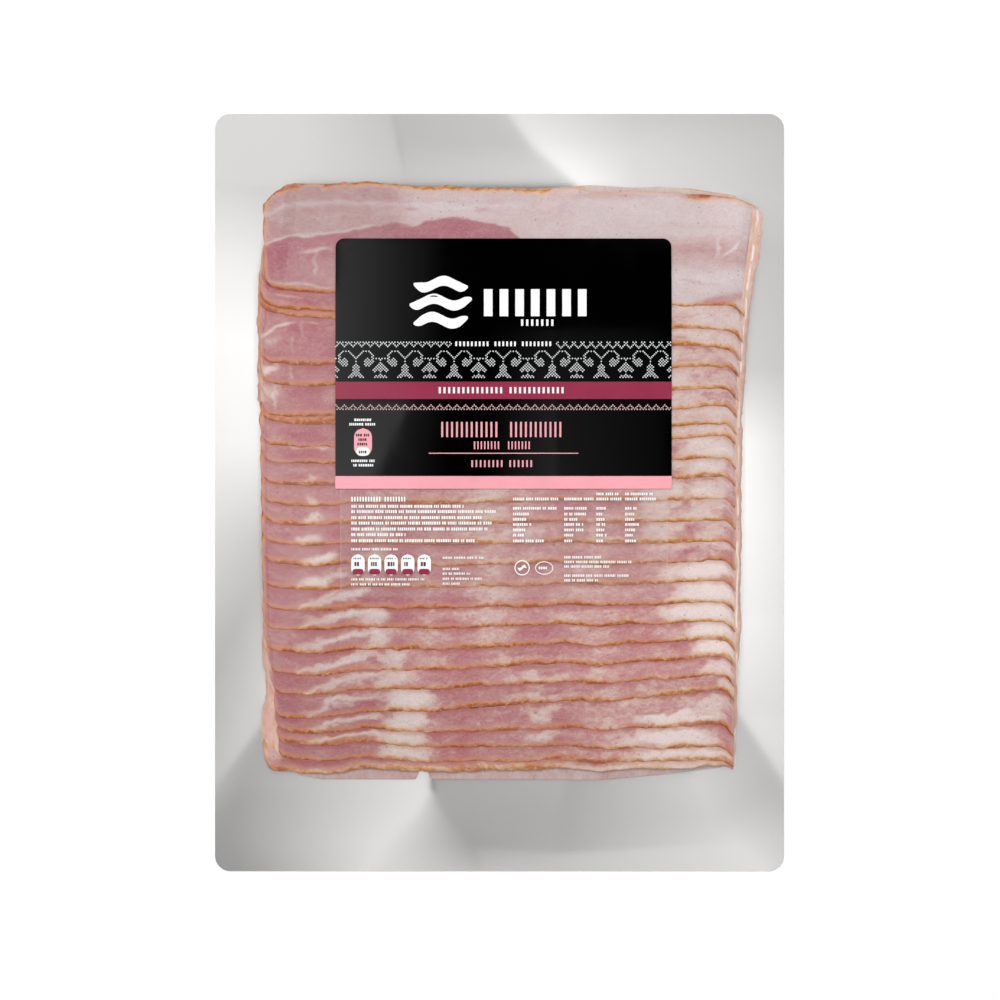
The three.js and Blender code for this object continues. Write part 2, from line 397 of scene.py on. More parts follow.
def film_material():
    """Clear film: a faint sheen over the meat, which fades where the film meets the backing."""
    shader = Shader("clear_film")
    place = shader.place()
    wrinkle = shader.noise(shader.scaled(place, (40.0, 60.0, 40.0)), 1.0, detail=2.0)
    normal = shader.bump(wrinkle, 0.05, 0.0003)
    sheen = shader.node("ShaderNodeBsdfGlossy", inputs={"Roughness": 0.06, "Normal": normal})
    clear = shader.node("ShaderNodeBsdfTransparent", inputs={"Color": (0.995, 0.995, 0.995, 1)})
    share = shader.node("ShaderNodeFresnel", inputs={"IOR": 1.52, "Normal": normal})
    capped = shader.math("MINIMUM", share.outputs[0], FILM_SHEEN)
    capped = shader.math("MULTIPLY", capped, shader.attribute("lifted"))
    return shader.blended(capped, clear.outputs[0], sheen.outputs[0])


def backing_material():
    """Silver-grey laminate with a crisp sheen and faint rolling marks."""
    shader = Shader("silver_backing")
    place = shader.place()
    mottle = shader.noise(place, 9.0, detail=2.0)
    lines = shader.noise(shader.scaled(place, (60.0, 1500.0, 60.0)), 1.0, detail=2.0)
    tint = shader.math("MULTIPLY_ADD", lines, 0.05, mottle)
    colour = shader.colours(
        shader.math("ADD", tint, 0.5), ((0.2, linear(222, 221, 220)), (0.8, linear(226, 225, 224)))
    )
    return shader.principled(
        Base_Color=colour,
        Metallic=0.85,
        Roughness=shader.ramp_value(mottle, -0.3, 0.3, 0.04, 0.06),
        Normal=shader.bump(lines, 0.01, 0.00002),
    )


def ink_material(name, colour, roughness=0.25):
    """Printed ink or sticker stock, with a faint unevenness in tone and gloss."""
    shader = Shader(name)
    place = shader.place()
    cloud = shader.noise(place, 60.0, detail=3.0)
    deeper = tuple(channel * 0.93 for channel in colour[:3]) + (1.0,)
    return shader.principled(
        Base_Color=shader.colours(
            shader.math("ADD", cloud, 0.5), ((0.3, deeper), (0.7, colour))
        ),
        Roughness=shader.ramp_value(cloud, -0.3, 0.3, roughness, roughness + 0.05),
    )


def panel_material(name, haze):
    """Clear sticker stock: see-through, with a milky share."""
    shader = Shader(name)
    place = shader.place()
    cloud = shader.noise(place, 40.0, detail=3.0)
    milk = shader.node(
        "ShaderNodeBsdfPrincipled",
        inputs={"Base Color": linear(240, 228, 224), "Roughness": 0.12},
    )
    clear = shader.node("ShaderNodeBsdfTransparent")
    share = shader.math("MULTIPLY_ADD", cloud, haze * 0.3, haze)
    return shader.blended(share, clear.outputs[0], milk.outputs[0])


BACON = bacon_material()
FILM = film_material()
SILVER = backing_material()


def add_meat(name, points, faces, meat, normals=None, **tones):
    """A piece of bacon, with its tones given for each point or as one value for all."""
    attributes = {"meat": meat.reshape(-1, 3)}
    for key, value in {"painted_shade_gap": 9.0, "side": 9.0, "cool": 0.0, **tones}.items():
        attributes[key] = np.ravel(value) if np.ndim(value) else np.full(len(points), value)
    return add_piece(name, points, faces, BACON, "sealed_bacon", attributes, normals)


# The lie of the slices


def along(x):
    """The share of the way from the left gauge line to the right one."""
    return (x - GAUGE[0]) / (GAUGE[1] - GAUGE[0])


def chord(index, x):
    """The straight line along a slice's lower edge."""
    left = TOP_EDGE[0] - sum(SHOWN_LEFT[:index])
    right = TOP_EDGE[1] - sum(SHOWN_RIGHT[:index])
    return lerp(left, right, along(x))


def width_at(x):
    return lerp(SLICE_WIDTH[0], SLICE_WIDTH[1], along(x))


# How far the left ends of the lowest slices are set in; the last one reaches out.
LOW_INSET = ((16, 0), (18, 2.0), (20, 4.2), (23, 5.2), (24, -1.2))


END_LEFT = -118.2
END_RIGHT = 117.3


def ends(index):
    """Where a slice's left and right ends lie; those near the top are set in or reach out."""
    inset = 2.4 * max(0.0, 1 - index / 2) + float(table_at(LOW_INSET, index))
    reach = 3.2 * max(0.0, 1 - index / 5)
    return END_LEFT + 0.14 * index + inset, END_RIGHT - 0.08 * index + reach


# Dips and rises that all slices share, as place along the slice, height and half length.
EDGE_WAVES = (
    (-90.0, -1.0, 13.0),
    (-66.0, 0.7, 13.0),
    (-30.0, -0.8, 18.0),
    (34.0, 0.7, 10.0),
    (52.0, -0.8, 11.0),
    (106.0, 0.9, 14.0),
)
# Small unevenness of the edges: size, length of its cells, change from slice to slice, and seed.
EDGE_NOISE = ((0.6, 13, 0.61, 1), (0.42, 4.5, 7.3, 2), (0.26, 1.9, 3.1, 3))
# The round left corner, the hook at the right end, and the step down at the slice above.
CORNER = 5.5
HOOK_REACH = 6.5
HOOK_DROP = 5.2
STEP = 0.35
# How far from the ends the slices sag, and how deep, at the left and the right.
SAG_LEFT = (4.0, 1.0)
SAG_RIGHT = (8.0, 2.2)
# How far the ends are drawn in below the slice above, bulge where they show, and reach along.
DRAWN_IN = 6.0
BULGE = 0.8
END_REACH = 14


def end_offset(index, x):
    """How much a slice's lower edge rises at its round left corner and hooks down at its right end."""
    left, right = ends(index)
    rise = 1.6 * np.exp((left - x) / 7.0)
    dx = np.clip(x - left, 0, CORNER)
    corner = CORNER - np.sqrt(np.maximum(CORNER**2 - (CORNER - dx) ** 2, 0))
    hook = HOOK_DROP * np.clip((x - right + HOOK_REACH) / HOOK_REACH, 0, 1) ** 1.6
    hook *= np.interp(index, (21, 24), (1.0, 0.25))
    return rise + corner * (1.6 if index in (0, SLICES - 1) else 1.0) - hook


def edge_y(index, x):
    """A slice's lower edge, with its waves and its shaped ends."""
    waves = sum(h * np.exp(-(((x - at) / half) ** 2)) for at, h, half in EDGE_WAVES)
    uneven = sum(
        size * cloud(x / cell, np.float64(index * shift), seed) for size, cell, shift, seed in EDGE_NOISE
    )
    return chord(index, x) + waves * (0.7 + 0.02 * index) + uneven + end_offset(index, x)


def place_y(index, x, v):
    """Where a point v above the lower edge lies; the far edge doesn't follow the shaped ends."""
    return edge_y(index, x) + v - end_offset(index, x) * smoothstep(14, 50, v)


def shoulder(x, left, right):
    """How far the slices sag where they end."""
    at_left = np.clip(1 - (x - left) / SAG_LEFT[0], 0, 1) ** 2
    at_right = np.clip(1 - (right - x) / SAG_RIGHT[0], 0, 1) ** 2
    return SAG_LEFT[1] * at_left + SAG_RIGHT[1] * at_right


def under_top(y):
    share = np.clip(np.minimum(UNDER_TOP - y, y - UNDER_BOTTOM) / MEAN_WIDTH, 0, 1)
    return BACKING + THICKNESS + FULL_RISE * share


def crest(index, x):
    carriers = min(SLICES - 1 - index, CARRIERS)
    return under_top(chord(index, x)) + (carriers + 1) * THICKNESS


def top_foot(index, x):
    """The height of a slice's upper face at its upper edge."""
    return under_top(chord(index, x) + width_at(x)) + THICKNESS


TOP_SLOPE = (crest(0, 0.0) - top_foot(0, 0.0)) / MEAN_WIDTH


def shown(index, x):
    return chord(index - 1, x) - chord(index, x) if index else width_at(x)


def end_shift(index, x, v):
    """How far a slice's ends are moved along: they bulge where they show and draw in below."""
    left, right = ends(index)
    span = shown(index, x)
    hidden = DRAWN_IN * smoothstep(4, 40, v - span)
    bulge = BULGE * np.sin(math.pi * np.clip(v / span, 0, 1))
    bulge = bulge + 0.5 * cloud(v / 6, np.float64(index * 1.3), 16)
    at_left, at_right = smoothstep(END_REACH, 0, x - left), smoothstep(END_REACH, 0, right - x)
    return (hidden - bulge) * at_left - hidden * at_right


def slice_top(index, x, v):
    """The height of a slice's upper face, v above its lower edge.

    The meat is pressed against the edge of the slice above it, and passes under that slice behind it.
    """
    high = crest(index, x)
    foot = top_foot(index, x)
    left, right = ends(index)
    if index == 0:
        level = lerp(high, foot, v / width_at(x))
    else:
        span = shown(index, x)
        over = crest(index - 1, x)
        swell = 0.2 * np.sin(math.pi * np.clip(v / span, 0, 1))
        near = lerp(high, over - STEP, v / span) + swell
        far = lerp(over - THICKNESS, foot, np.clip((v - span) / (width_at(x) - span), 0, 1))
        level = lerp(near, far, smoothstep(span + 0.4, span + 1.1, v))
    return level + 0.06 * cloud(x / 9, v / 5 + index, 4) - shoulder(x, left, right)


# Where the fat lies


# Fat and lean that recur from slice to slice: the first and last slice, the place along the
# slice and the half length at both, the share of the shown strip that it is centred on, its
# half height as a share, and how fat it is.
PATCHES = (
    ((9, 12), (-92.0, -91.0), (4.0, 6.0), 0.22, 0.32, 0.9),
    ((10, 14), (-62.0, -60.0), (7.0, 8.0), 0.45, 0.5, 0.5),
    ((13, 14), (-90.0, -90.0), (9.0, 9.0), 0.3, 0.35, 0.9),
    ((16, 19), (-61.0, -51.0), (6.0, 8.5), 0.5, 0.6, 0.85),
    ((20, 23), (-46.0, -48.5), (9.5, 12.5), 0.55, 0.7, 1.1),
    ((9, 17), (-9.0, -4.0), (14.0, 15.0), 0.5, 0.8, 0.45),
    ((12, 24), (40.0, 52.0), (20.0, 26.0), 0.45, 0.8, 0.3),
    ((18, 20), (10.0, 22.0), (22.0, 16.0), 0.3, 0.25, 0.6),
    ((14, 16), (99.0, 101.5), (18.0, 17.0), 0.55, 0.65, 1.5),
    ((17, 18), (103.5, 105.5), (13.5, 11.5), 0.55, 0.65, 1.5),
    ((19, 20), (110.0, 111.0), (6.0, 5.0), 0.5, 0.6, 0.8),
    ((20, 20), (87.0, 87.0), (12.0, 12.0), 0.15, 0.18, 0.9),
    ((21, 21), (88.7, 88.7), (19.5, 19.5), 0.22, 0.18, 1.6),
    ((21, 21), (106.0, 106.0), (9.0, 9.0), 0.55, 0.4, 0.7),
    ((21, 22), (24.0, 23.0), (7.0, 6.5), 0.65, 0.35, 0.8),
    ((22, 22), (86.0, 86.0), (22.0, 22.0), 0.5, 0.4, 1.5),
    ((23, 23), (93.0, 93.0), (24.0, 24.0), 0.5, 0.6, 1.2),
    ((24, 24), (-20.0, -20.0), (90.0, 90.0), 0.0, 0.55, 0.95),
    ((24, 24), (90.0, 90.0), (30.0, 30.0), 0.3, 0.8, 1.1),
    ((24, 24), (-117.0, -117.0), (8.0, 8.0), 1.6, 1.0, 0.9),
    ((1, 2), (87.0, 84.0), (9.0, 10.0), 0.25, 0.4, -0.5),
    ((3, 3), (98.0, 98.0), (20.0, 20.0), 0.5, 0.8, -0.4),
    ((4, 5), (106.0, 110.0), (11.0, 8.0), 0.5, 0.6, -0.4),
    ((8, 14), (88.0, 90.0), (4.0, 4.0), 0.5, 0.6, -0.6),
    ((9, 14), (115.0, 113.5), (4.5, 5.0), 0.5, 0.6, -0.5),
    ((4, 4), (-114.0, -114.0), (3.5, 3.5), 0.55, 0.5, 0.6),
    ((5, 5), (-113.0, -113.0), (5.0, 5.0), 0.75, 0.35, 0.45),
)
PALE_SIDE = {"from": 62.0, "to": 84.0, "last": 15, "gain": 0.74}
LEAN = -0.54

# The slanting streak of fat near the left ends of the middle slices.
STREAK = {"first": 13, "last": 22, "start": -99.5, "turn": 14.0, "half": 0.2, "gain": 1.0}
STREAK_ENDS = (-80.0, -58.0)

# The top slice, in the photograph's frame: where its lean begins, and the course of a pale band.
LEAN_LINE = (
    (262, 249), (275, 243), (290, 238), (320, 235), (345, 234), (360, 230), (375, 226), (395, 224),
    (412, 228), (424, 223), (455, 217), (485, 221), (505, 228), (520, 238), (560, 262), (600, 330),
    (770, 330),
)
PALE_LINE = (
    (262, 216), (272, 213), (283, 206), (300, 203.5), (345, 203), (395, 204), (440, 206), (540, 208),
)
UPPER_FATNESS = ((262, -0.06), (390, -0.02), (410, 0.22), (520, 0.3), (590, 0.46), (770, 0.5))
# Further patches there: centre, half lengths, slope, and how fat.
TOP_PATCHES = (
    (283, 216, 14, 10, 0.00, 0.1),
    (440, 212, 60, 6, 0.02, 0.2),
    (411, 210, 7, 2.5, 0.10, -0.45),
    (481, 210, 9, 3, 0.10, -0.5),
    (273, 258, 16, 18, 0.00, -0.2),
    (330, 272, 30, 14, 0.00, 0.16),
    (312, 251.5, 13, 3.2, -0.15, 0.62),
    (329, 250, 10, 2.6, 0.15, 0.5),
    (317, 264, 2.8, 13, 0.00, 0.42),
    (305, 286, 36, 2.4, 0.12, 0.5),
    (455, 228, 26, 8, 0.00, -0.2),
    (606, 196, 50, 4, 0.02, -0.3),
    (560, 212, 20, 14, 0.00, -0.12),
    (699, 195.5, 24, 5, 0.05, -0.85),
    (690, 226, 50, 3, 0.05, -0.16),
    (700, 254, 90, 17, -0.02, -0.5),
    (740, 262, 10, 11, -0.03, -0.2),
    (727, 249, 9, 1.5, -0.85, 0.8),
    (712, 250, 1.7, 9, 0.00, 0.4),
    (700, 279, 60, 6, -0.06, 0.25),
    (690, 283, 26, 1.2, 0.05, -0.4),
    (718, 301, 28, 7, -0.25, -0.75),
)

# Pale marks of single slices, given in the same way after the slice's number.
MARKS = (
    (1, 290, 297, 16, 1.6, 0.10, 0.4),
    (3, 268, 334, 10, 2.2, -0.62, 0.8),
    (3, 287, 325, 12, 2.2, -0.25, 0.8),
    (3, 303, 329, 2.0, 7, 0.00, 0.5),
    (3, 312, 323, 10, 1.6, 0.10, 0.5),
    (3, 294, 343, 1.8, 11, 0.00, 0.4),
    (3, 270, 344, 12, 5, -0.30, 0.3),
    (4, 266, 373, 9, 4, -0.50, 0.7),
    (4, 292, 374, 1.8, 9, 0.00, 0.45),
    (5, 262, 398, 5, 5, -0.20, 0.7),
    (5, 276, 400, 1.8, 12, 0.00, 0.5),
    (5, 330, 402, 9, 6, 0.00, 0.35),
    (8, 275, 442, 7, 4, 0.00, 0.5),
    (8, 310, 447, 26, 3, 0.05, 0.7),
    (10, 300, 470, 24, 2.4, 0.10, 0.6),
)


def bump_at(across, over):
    """A patch's strength, from 1 at its centre to nothing outside, with a fairly firm edge."""
    return np.exp(-((across**2 + over**2) ** 1.5))


def top_slice_fat(x, v):
    """How fat the top slice is, from its lean, its pale band and its patches."""
    px, py = to_px(x, place_y(0, x, v))
    px = px + 3.5 * cloud(px / 16, py / 9, 8) + 1.3 * cloud(px / 5, py / 4, 9)
    py = py + 2.0 * cloud(px / 22, py / 10, 10) + 0.8 * cloud(px / 6, py / 4, 11)
    begin = table_at(LEAN_LINE, px)
    pale = table_at(PALE_LINE, px)
    lean = -0.6 + 0.16 * smoothstep(250, 285, py)
    field = lerp(table_at(UPPER_FATNESS, px), lean, smoothstep(-1.6, 1.6, py - begin))
    field += 0.42 * np.exp(-(((py - begin + 0.6) / 1.9) ** 2)) * smoothstep(382, 366, px)
    field += 0.3 * np.exp(-(((py - pale) / 2.8) ** 2)) * smoothstep(540, 500, px)
    for cx, cy, half_x, half_y, slope, gain in TOP_PATCHES:
        over = (py - cy - slope * (px - cx)) / half_y
        field += gain * bump_at((px - cx) / half_x, over)
    return field


def fat_field(index, x, v):
    """How fat the meat is: below 0 lean, above 0 fat."""
    if index == 0:
        return top_slice_fat(x, v)
    share = np.clip(v / shown(index, x), -0.2, 1.6)
    row = v / 4 + index * 0.7
    px, py = to_px(x, place_y(index, x, v))
    px = px + 2.4 * cloud(px / 11, py / 6, 22)
    py = py + 1.4 * cloud(px / 9, py / 8, 23)
    x = x + 3.2 * cloud(x / 8, row, 5) + 1.2 * cloud(x / 2.6, row * 2.2, 6)
    share = share + 0.17 * cloud(x / 7, row, 7) + 0.07 * cloud(x / 2.2, row * 2.5, 12)
    field = np.full_like(x, LEAN) + 0.14 * smoothstep(-70, -40, x)
    field += 0.16 * smoothstep(20, 60, x)
    field += 0.28 * cloud(x / 16, row * 0.6, 13)
    # Painted shade: leaner, darker meat close to the lower edge near the right end, by the hooks.
    field -= 0.5 * smoothstep(109, 115, x) * smoothstep(4.0, 1.0, v)
    for marked, cx, cy, half_x, half_y, slope, gain in MARKS:
        if index == marked:
            field += gain * bump_at((px - cx) / half_x, (py - cy - slope * (px - cx)) / half_y)
    pale = smoothstep(PALE_SIDE["from"], PALE_SIDE["to"], x)
    field += PALE_SIDE["gain"] * pale * np.clip((PALE_SIDE["last"] - index) / 3, 0, 1)
    for (first, last), places, halves, centre, half_height, gain in PATCHES:
        if first <= index <= last:
            part = (index - first) / max(last - first, 1)
            place = lerp(places[0], places[1], part) + 2.0 * np.sin(2.3 * index + centre * 9)
            half = lerp(halves[0], halves[1], part) * (1 + 0.2 * np.sin(1.7 * index))
            slanted = x - place - (5 + 3 * np.sin(3.1 * index)) * (share - 0.5)
            field += gain * bump_at(slanted / half, (share - centre) / half_height)
    if STREAK["first"] <= index <= STREAK["last"]:
        reach = np.interp(index, (13, 16), STREAK_ENDS)
        start = STREAK["start"] + 1.2 * np.sin(index)
        middle = 0.06 + 0.72 * (1 - np.exp(-np.maximum(x - start, 0) / STREAK["turn"]))
        middle = middle + 0.08 * np.sin(0.22 * x + index)
        within = smoothstep(start - 3, start + 2, x) * (1 - smoothstep(reach - 4, reach + 3, x))
        strength = STREAK["gain"] * lerp(0.65, 1.0, smoothstep(start, start + 22, x))
        field += strength * within * np.exp(-(((share - middle) / STREAK["half"]) ** 2))
    return field


# Slices

COLUMNS = 360
TOP_COLUMNS = 420
FINE_STEP = 0.55
BURIED = 2.2
# The rounded lower edge: distance in from the edge and depth below the upper face.
EDGE_PROFILE = ((0.5, 1.0), (0.12, 0.8), (0.0, 0.45), (0.12, 0.14), (0.4, 0.0))


def slice_grid(index, x):
    """Distances above the lower edge, and depths below the upper face, for each column."""
    seen = np.minimum(shown(index, x) + (BURIED if index else 0.0), width_at(x))
    count = max(int(np.max(seen) / FINE_STEP), 4)
    fine = np.linspace(0, 1, count)[1:, None] * (seen - EDGE_PROFILE[-1][0])[None, :]
    fine += EDGE_PROFILE[-1][0]
    lower = np.array([[inward] for inward, _ in EDGE_PROFILE]) * np.ones_like(x)[None, :]
    rest = np.linspace(0, 1, 4)[1:, None] * (width_at(x) - seen)[None, :] + seen[None, :]
    v = np.vstack([lower, fine] if index == 0 else [lower, fine, rest])
    depth = np.zeros_like(v)
    for row, (_, share) in enumerate(EDGE_PROFILE):
        depth[row] = share * THICKNESS
    return v, depth


# How far the top slice's upper edge lies above its full width, along its length.
TOP_EDGE_RISE = (
    (-118, -17), (-114, -9.5), (-110, -5), (-106, -2), (-101, -0.4), (-90, 0.0), (-62, 0.1), (0, 0.0),
    (20, -1.6), (37, -0.9), (62, -0.8), (92, -1.1), (104, -2.6), (112, -4.2), (119, -7), (121, -9),
)


# How close to smoked the top slice's upper edge is along its length: the lower, the browner.
RIND = (
    (-118, 0.4), (-110, 0.2), (-105, -1.5), (-99, -1.5), (-95, 1.6), (-89, 1.2), (-86, -0.5),
    (-60, 0.1), (-30, -0.5), (0, -0.1), (6, 0.9), (8, -0.5), (23, -0.5), (27, 2.0), (89, 2.0),
    (91, -0.7), (99, -0.7), (102, 1.2), (125, 0.8),
)


# How deep the outer columns fold down, so that the ends have a thickness too.
END_FOLDS = ((0, 1.0), (1, 0.45), (2, 0.1), (-1, 1.0), (-2, 0.45), (-3, 0.1))
# How far the right end of the top slice leans outwards.
TOP_LEAN_OUT = 6.0


def slice_tones(index, xs, v, depth):
    """How near each point is to a smoked rim, a side and the slice above, where shade is painted, and
    how dim and coarse.
    """
    left, right = ends(index)
    seen = shown(index, xs[0])[None, :]
    ragged = cloud(v / 5, np.float64(index), 14)
    lead = 1.5 if 0 < index < SLICES - 1 else 0.8
    side = np.minimum(lead * (xs - left) + 0.8 + 0.8 * ragged, right - xs + 0.9)
    # Where little of a slice shows, more of that is smoked; the smoked edge comes and goes.
    narrow = np.interp(seen, (3.0, 8.0), (0.5, 1.0)) if index else 1.0
    hooked = smoothstep(right - 9, right - 3, xs) if index else 0.0
    # Down the rounded edge's face the rim value grows, so the face shows the paler tan in place of dark
    # brown: painted light against the shade on that face.
    rim = v * narrow * (1 - 0.3 * hooked) + 0.8 * depth / THICKNESS
    rim += (0.9 if index else 0.3) * cloud(xs / 15, np.float64(index * 5.1), 21)
    if index == SLICES - 1:
        rim += 1.3 * smoothstep(10, 50, xs)
    rim = np.minimum(rim, 1.3 * (xs - left) + 1.0 + 0.9 * ragged)
    # The lower slices are a little darker at the left and lighter at the right.
    low = smoothstep(11, 15, np.float64(index))
    dim = 1 - (0.02 + 0.065 * low) * smoothstep(-30, -60, xs) + 0.07 * low * smoothstep(20, 60, xs)
    even = lerp(0.62, 1.0, smoothstep(-88, -66, xs))
    return {"rim": rim, "painted_shade_gap": seen - v, "side": side, "dim": dim, "coarse": even}


def top_slice_tones(tones, xs, y, v):
    """The top slice's tones: rind along its upper edge and right end, and a dimmer upper left."""
    below_top = v[-1][None, :] - v
    right_end = 1.5 * (ends(0)[1] - xs) + lerp(1.5, 0.8, smoothstep(30, 14, v))
    rim = np.minimum(tones["rim"], below_top * 1.1 + table_at(RIND, xs))
    px, py = to_px(xs, y)
    return {
        "rim": np.minimum(rim, right_end),
        "side": np.minimum(tones["side"], below_top * 0.9 + 1.0),
        "dim": 1 - 0.13 * smoothstep(430, 380, px) * smoothstep(244, 228, py),
        "cool": 1.0,
        "coarse": 0.42,
    }


def add_slice(index):
    left, right = ends(index)
    spread = np.linspace(-1, 1, COLUMNS if index else TOP_COLUMNS)
    x = lerp(left, right, 0.5 + 0.5 * (0.9 * spread + 0.1 * np.sign(spread) * spread**4))
    v, depth = slice_grid(index, x)
    xs = np.broadcast_to(x, v.shape).copy()
    if index == 0:
        tall = width_at(x)
        v = v * ((tall + table_at(TOP_EDGE_RISE, x)) / tall)[None, :]
        depth[-1] = 0.6 * THICKNESS
        depth[-2] = 0.15 * THICKNESS
    for column, amount in END_FOLDS:
        depth[:, column] = np.maximum(depth[:, column], amount * THICKNESS)
    y = place_y(index, xs, v)
    place = np.stack([xs + end_shift(index, xs, v), y, slice_top(index, xs, v) - depth], axis=-1)
    tones = slice_tones(index, xs, v, depth)
    if index == 0:
        place[..., 0] += TOP_LEAN_OUT * smoothstep(70, right, xs) * np.clip(v / 50, 0, 1)
        tones = top_slice_tones(tones, xs, y, v)
    meat = np.stack([xs, v + 3 * index, np.full_like(xs, 2.2 * index)], axis=-1)
    name = f"slice_{index + 1:02d}"
    fat = fat_field(index, xs, v)
    return add_meat(name, place.reshape(-1, 3), grid_faces(*v.shape), meat, fat=fat, **tones)


for number in range(SLICES):
    add_slice(number)


# The lower layer, which reaches out at the right, the left and the bottom.

UNDER_RIGHT = (
    (-142, 110), (-135, 116.3), (-60, 119.2), (40, 119.8), (84, 123), (127, 129.7), (137, 130.2),
    (143, 127), (150, 117),
)
UNDER_LEFT = (
    (-142, -98), (-139, -106), (-136.5, -112), (-133, -115.8), (-127, -117.6), (-112, -117.6),
    (-107, -117.2), (-100, -114.6), (-95, -115), (-84, -117), (-33, -117.4), (41, -117.8),
    (46, -119.4), (104, -119.5), (120, -117.3), (136, -113), (143, -108), (148, -100),
)
UNDER_UPPER_EDGE = (
    (-112, 140), (-104, 147), (0, 149.5), (27, 150.4), (53, 152.4), (95, 150), (117, 146.5),
    (127, 141.5), (130, 138),
)
UNDER_COLUMNS = 150
# Its rows above the rounded edge.
UNDER_ROWS = (1.5, 3, 6, 10, 11, 16, 26, 40, MEAN_WIDTH)
UNDER_LOW_EDGE = ((-110, -137.6), (-88, -141.6), (50, -142), (78, -139.5), (117, -134.8))
NOTCH = {"at": -37.5, "half": 2.6, "depth": 6.5}
UNDER_PITCH = (UNDER_TOP - MEAN_WIDTH - UNDER_BOTTOM) / (SLICES - 1)
# How far the ends of its higher slices are set in towards the upper edge.
UNDER_TAPER = 4.5


def under_edge(index, x):
    if index == SLICES - 1:
        low = table_at(UNDER_LOW_EDGE, x)
        return low + NOTCH["depth"] * bump_at((x - NOTCH["at"]) / NOTCH["half"], 0)
    base = UNDER_TOP - MEAN_WIDTH - UNDER_PITCH * index
    return base + 0.5 * np.sin(0.05 * x + 0.4 * index) + 0.3 * np.sin(0.17 * x + index)


def under_slice_top(index, v):
    carriers = min(SLICES - 1 - index, CARRIERS)
    high = BACKING + (carriers + 1) * THICKNESS
    far = lerp(high, BACKING + THICKNESS, np.clip(v / MEAN_WIDTH, 0, 1))
    return lerp(high - 0.03 * v, far, smoothstep(UNDER_PITCH, UNDER_PITCH + 1, v))


def under_ends(y):
    return table_at(UNDER_LEFT, y), table_at(UNDER_RIGHT, y)


def add_under_layer():
    points, faces, meat, fat, rim, dim = [], [], [], [], [], []
    rows = np.array([row for row, _ in EDGE_PROFILE] + list(UNDER_ROWS))
    depths = np.array([depth for _, depth in EDGE_PROFILE] + [0.0] * len(UNDER_ROWS)) * THICKNESS
    for index in range(SLICES):
        spread = np.linspace(-1, 1, UNDER_COLUMNS)
        share = 0.5 + 0.5 * np.sign(spread) * (1 - (1 - np.abs(spread)) ** 1.6)
        middle = UNDER_TOP - MEAN_WIDTH - UNDER_PITCH * index
        left, right = under_ends(np.maximum(middle, UNDER_BOTTOM) + rows[:, None])
        last = index == SLICES - 1
        if not last:
            inset = UNDER_TAPER * smoothstep(141, 128, middle + rows[:, None])
            left, right = left + inset, right - inset
        uneven = 0.5 * cloud(np.float64(index * 0.6), rows[:, None] / 9, 15)
        x = (left + uneven) + (right - left - 2 * uneven) * share[None, :]
        v = np.broadcast_to(rows[:, None], x.shape)
        low = under_edge(index, x)
        room = np.clip((table_at(UNDER_UPPER_EDGE, x) - low) / MEAN_WIDTH, 0, 1)
        y = low + v * room
        depth = np.broadcast_to(depths[:, None], x.shape).copy()
        depth[:, [0, -1]] = THICKNESS
        depth[:, [1, -2]] = np.maximum(depth[:, [1, -2]], 0.3 * THICKNESS)
        inward = np.minimum(right - x, x - left)
        # Near the ends the slices are pressed into one smooth side.
        if not last:
            depth = depth * smoothstep(0.5, 9, inward)
        z = under_slice_top(index, v) - depth - 1.2 * smoothstep(3, 0, inward)
        z = np.maximum(z, 0.5 * BACKING)
        faces.append(grid_faces(*x.shape, first=len(points) * x.size))
        points.append(np.stack([x, y, z], axis=-1).reshape(-1, 3))
        meat.append(np.stack([x, 0.3 * y, 0.2 * y], axis=-1).reshape(-1, 3))
        upper_edge = table_at(UNDER_UPPER_EDGE, x) - y
        paler = 0.15 if last else 0.5 * smoothstep(136, 144, y)
        fat.append((0.4 * smoothstep(14, 2, inward) + paler).ravel())
        rim.append((np.full(x.shape, 9.0) if last else upper_edge * 1.6 + 1.2).ravel())
        dim.append(np.full(x.size, 0.865 if last else 0.97))
    return add_meat(
        "lower_slices",
        np.vstack(points),
        np.vstack(faces),
        np.vstack(meat),
        fat=np.concatenate(fat),
        rim=np.concatenate(rim),
        dim=np.concatenate(dim),
        cool=0.5,
        coarse=0.6,
    )


add_under_layer()


# The stacked ends of the slices, which show as a band along both sides

# The rows from the lowest slice up and five more beside the top slice, with the ends there.
UPWARDS = range(SLICES - 1, -1, -1)
TOP_ROWS = [120.0, 135.0, 141.5, 147.0, 152.0]
END_ROWS = [chord(index, 0.0) for index in UPWARDS] + TOP_ROWS
END_LEFTS = [ends(index)[0] for index in UPWARDS] + [-117.0, -114.0, -112.4, -109.0, -104.0]
END_RIGHTS = [ends(index)[1] for index in UPWARDS] + [124.0, 126.0, 126.0, 120.0, 60.0]
END_TOPS = [crest(index, 0.0) for index in UPWARDS]
END_TOPS += [crest(0, 0.0) - TOP_SLOPE * (row - TOP_EDGE[0]) for row in TOP_ROWS]

BAND_ROWS = (-136.0, 141.6)
# How far inside the slices' ends a band begins, its least width, and how far below the top it is.
BAND_START = 1.6
BAND_LEAST = 1.4
BAND_DROP_LEFT = 2.0
BAND_DROP_RIGHT = 3.0


def side_course(y, sign):
    """Where a side band begins below the slices and ends on the backing, and its height at first."""
    inner = np.interp(y, END_ROWS, END_RIGHTS if sign > 0 else END_LEFTS) - sign * BAND_START
    outer = under_ends(y)[1 if sign > 0 else 0]
    outer = lerp(outer, inner + sign * 1.0, smoothstep(137.5, 141.6, y))
    if sign < 0:
        outer = lerp(inner - BAND_LEAST, outer, smoothstep(-135, -121, y))
    if sign > 0:
        outer = np.maximum(outer, inner + BAND_LEAST)
    else:
        outer = np.minimum(outer, inner - BAND_LEAST)
    top = np.interp(y, END_ROWS, END_TOPS) - (BAND_DROP_RIGHT if sign > 0 else BAND_DROP_LEFT)
    return inner, outer, np.maximum(top, 1.5)


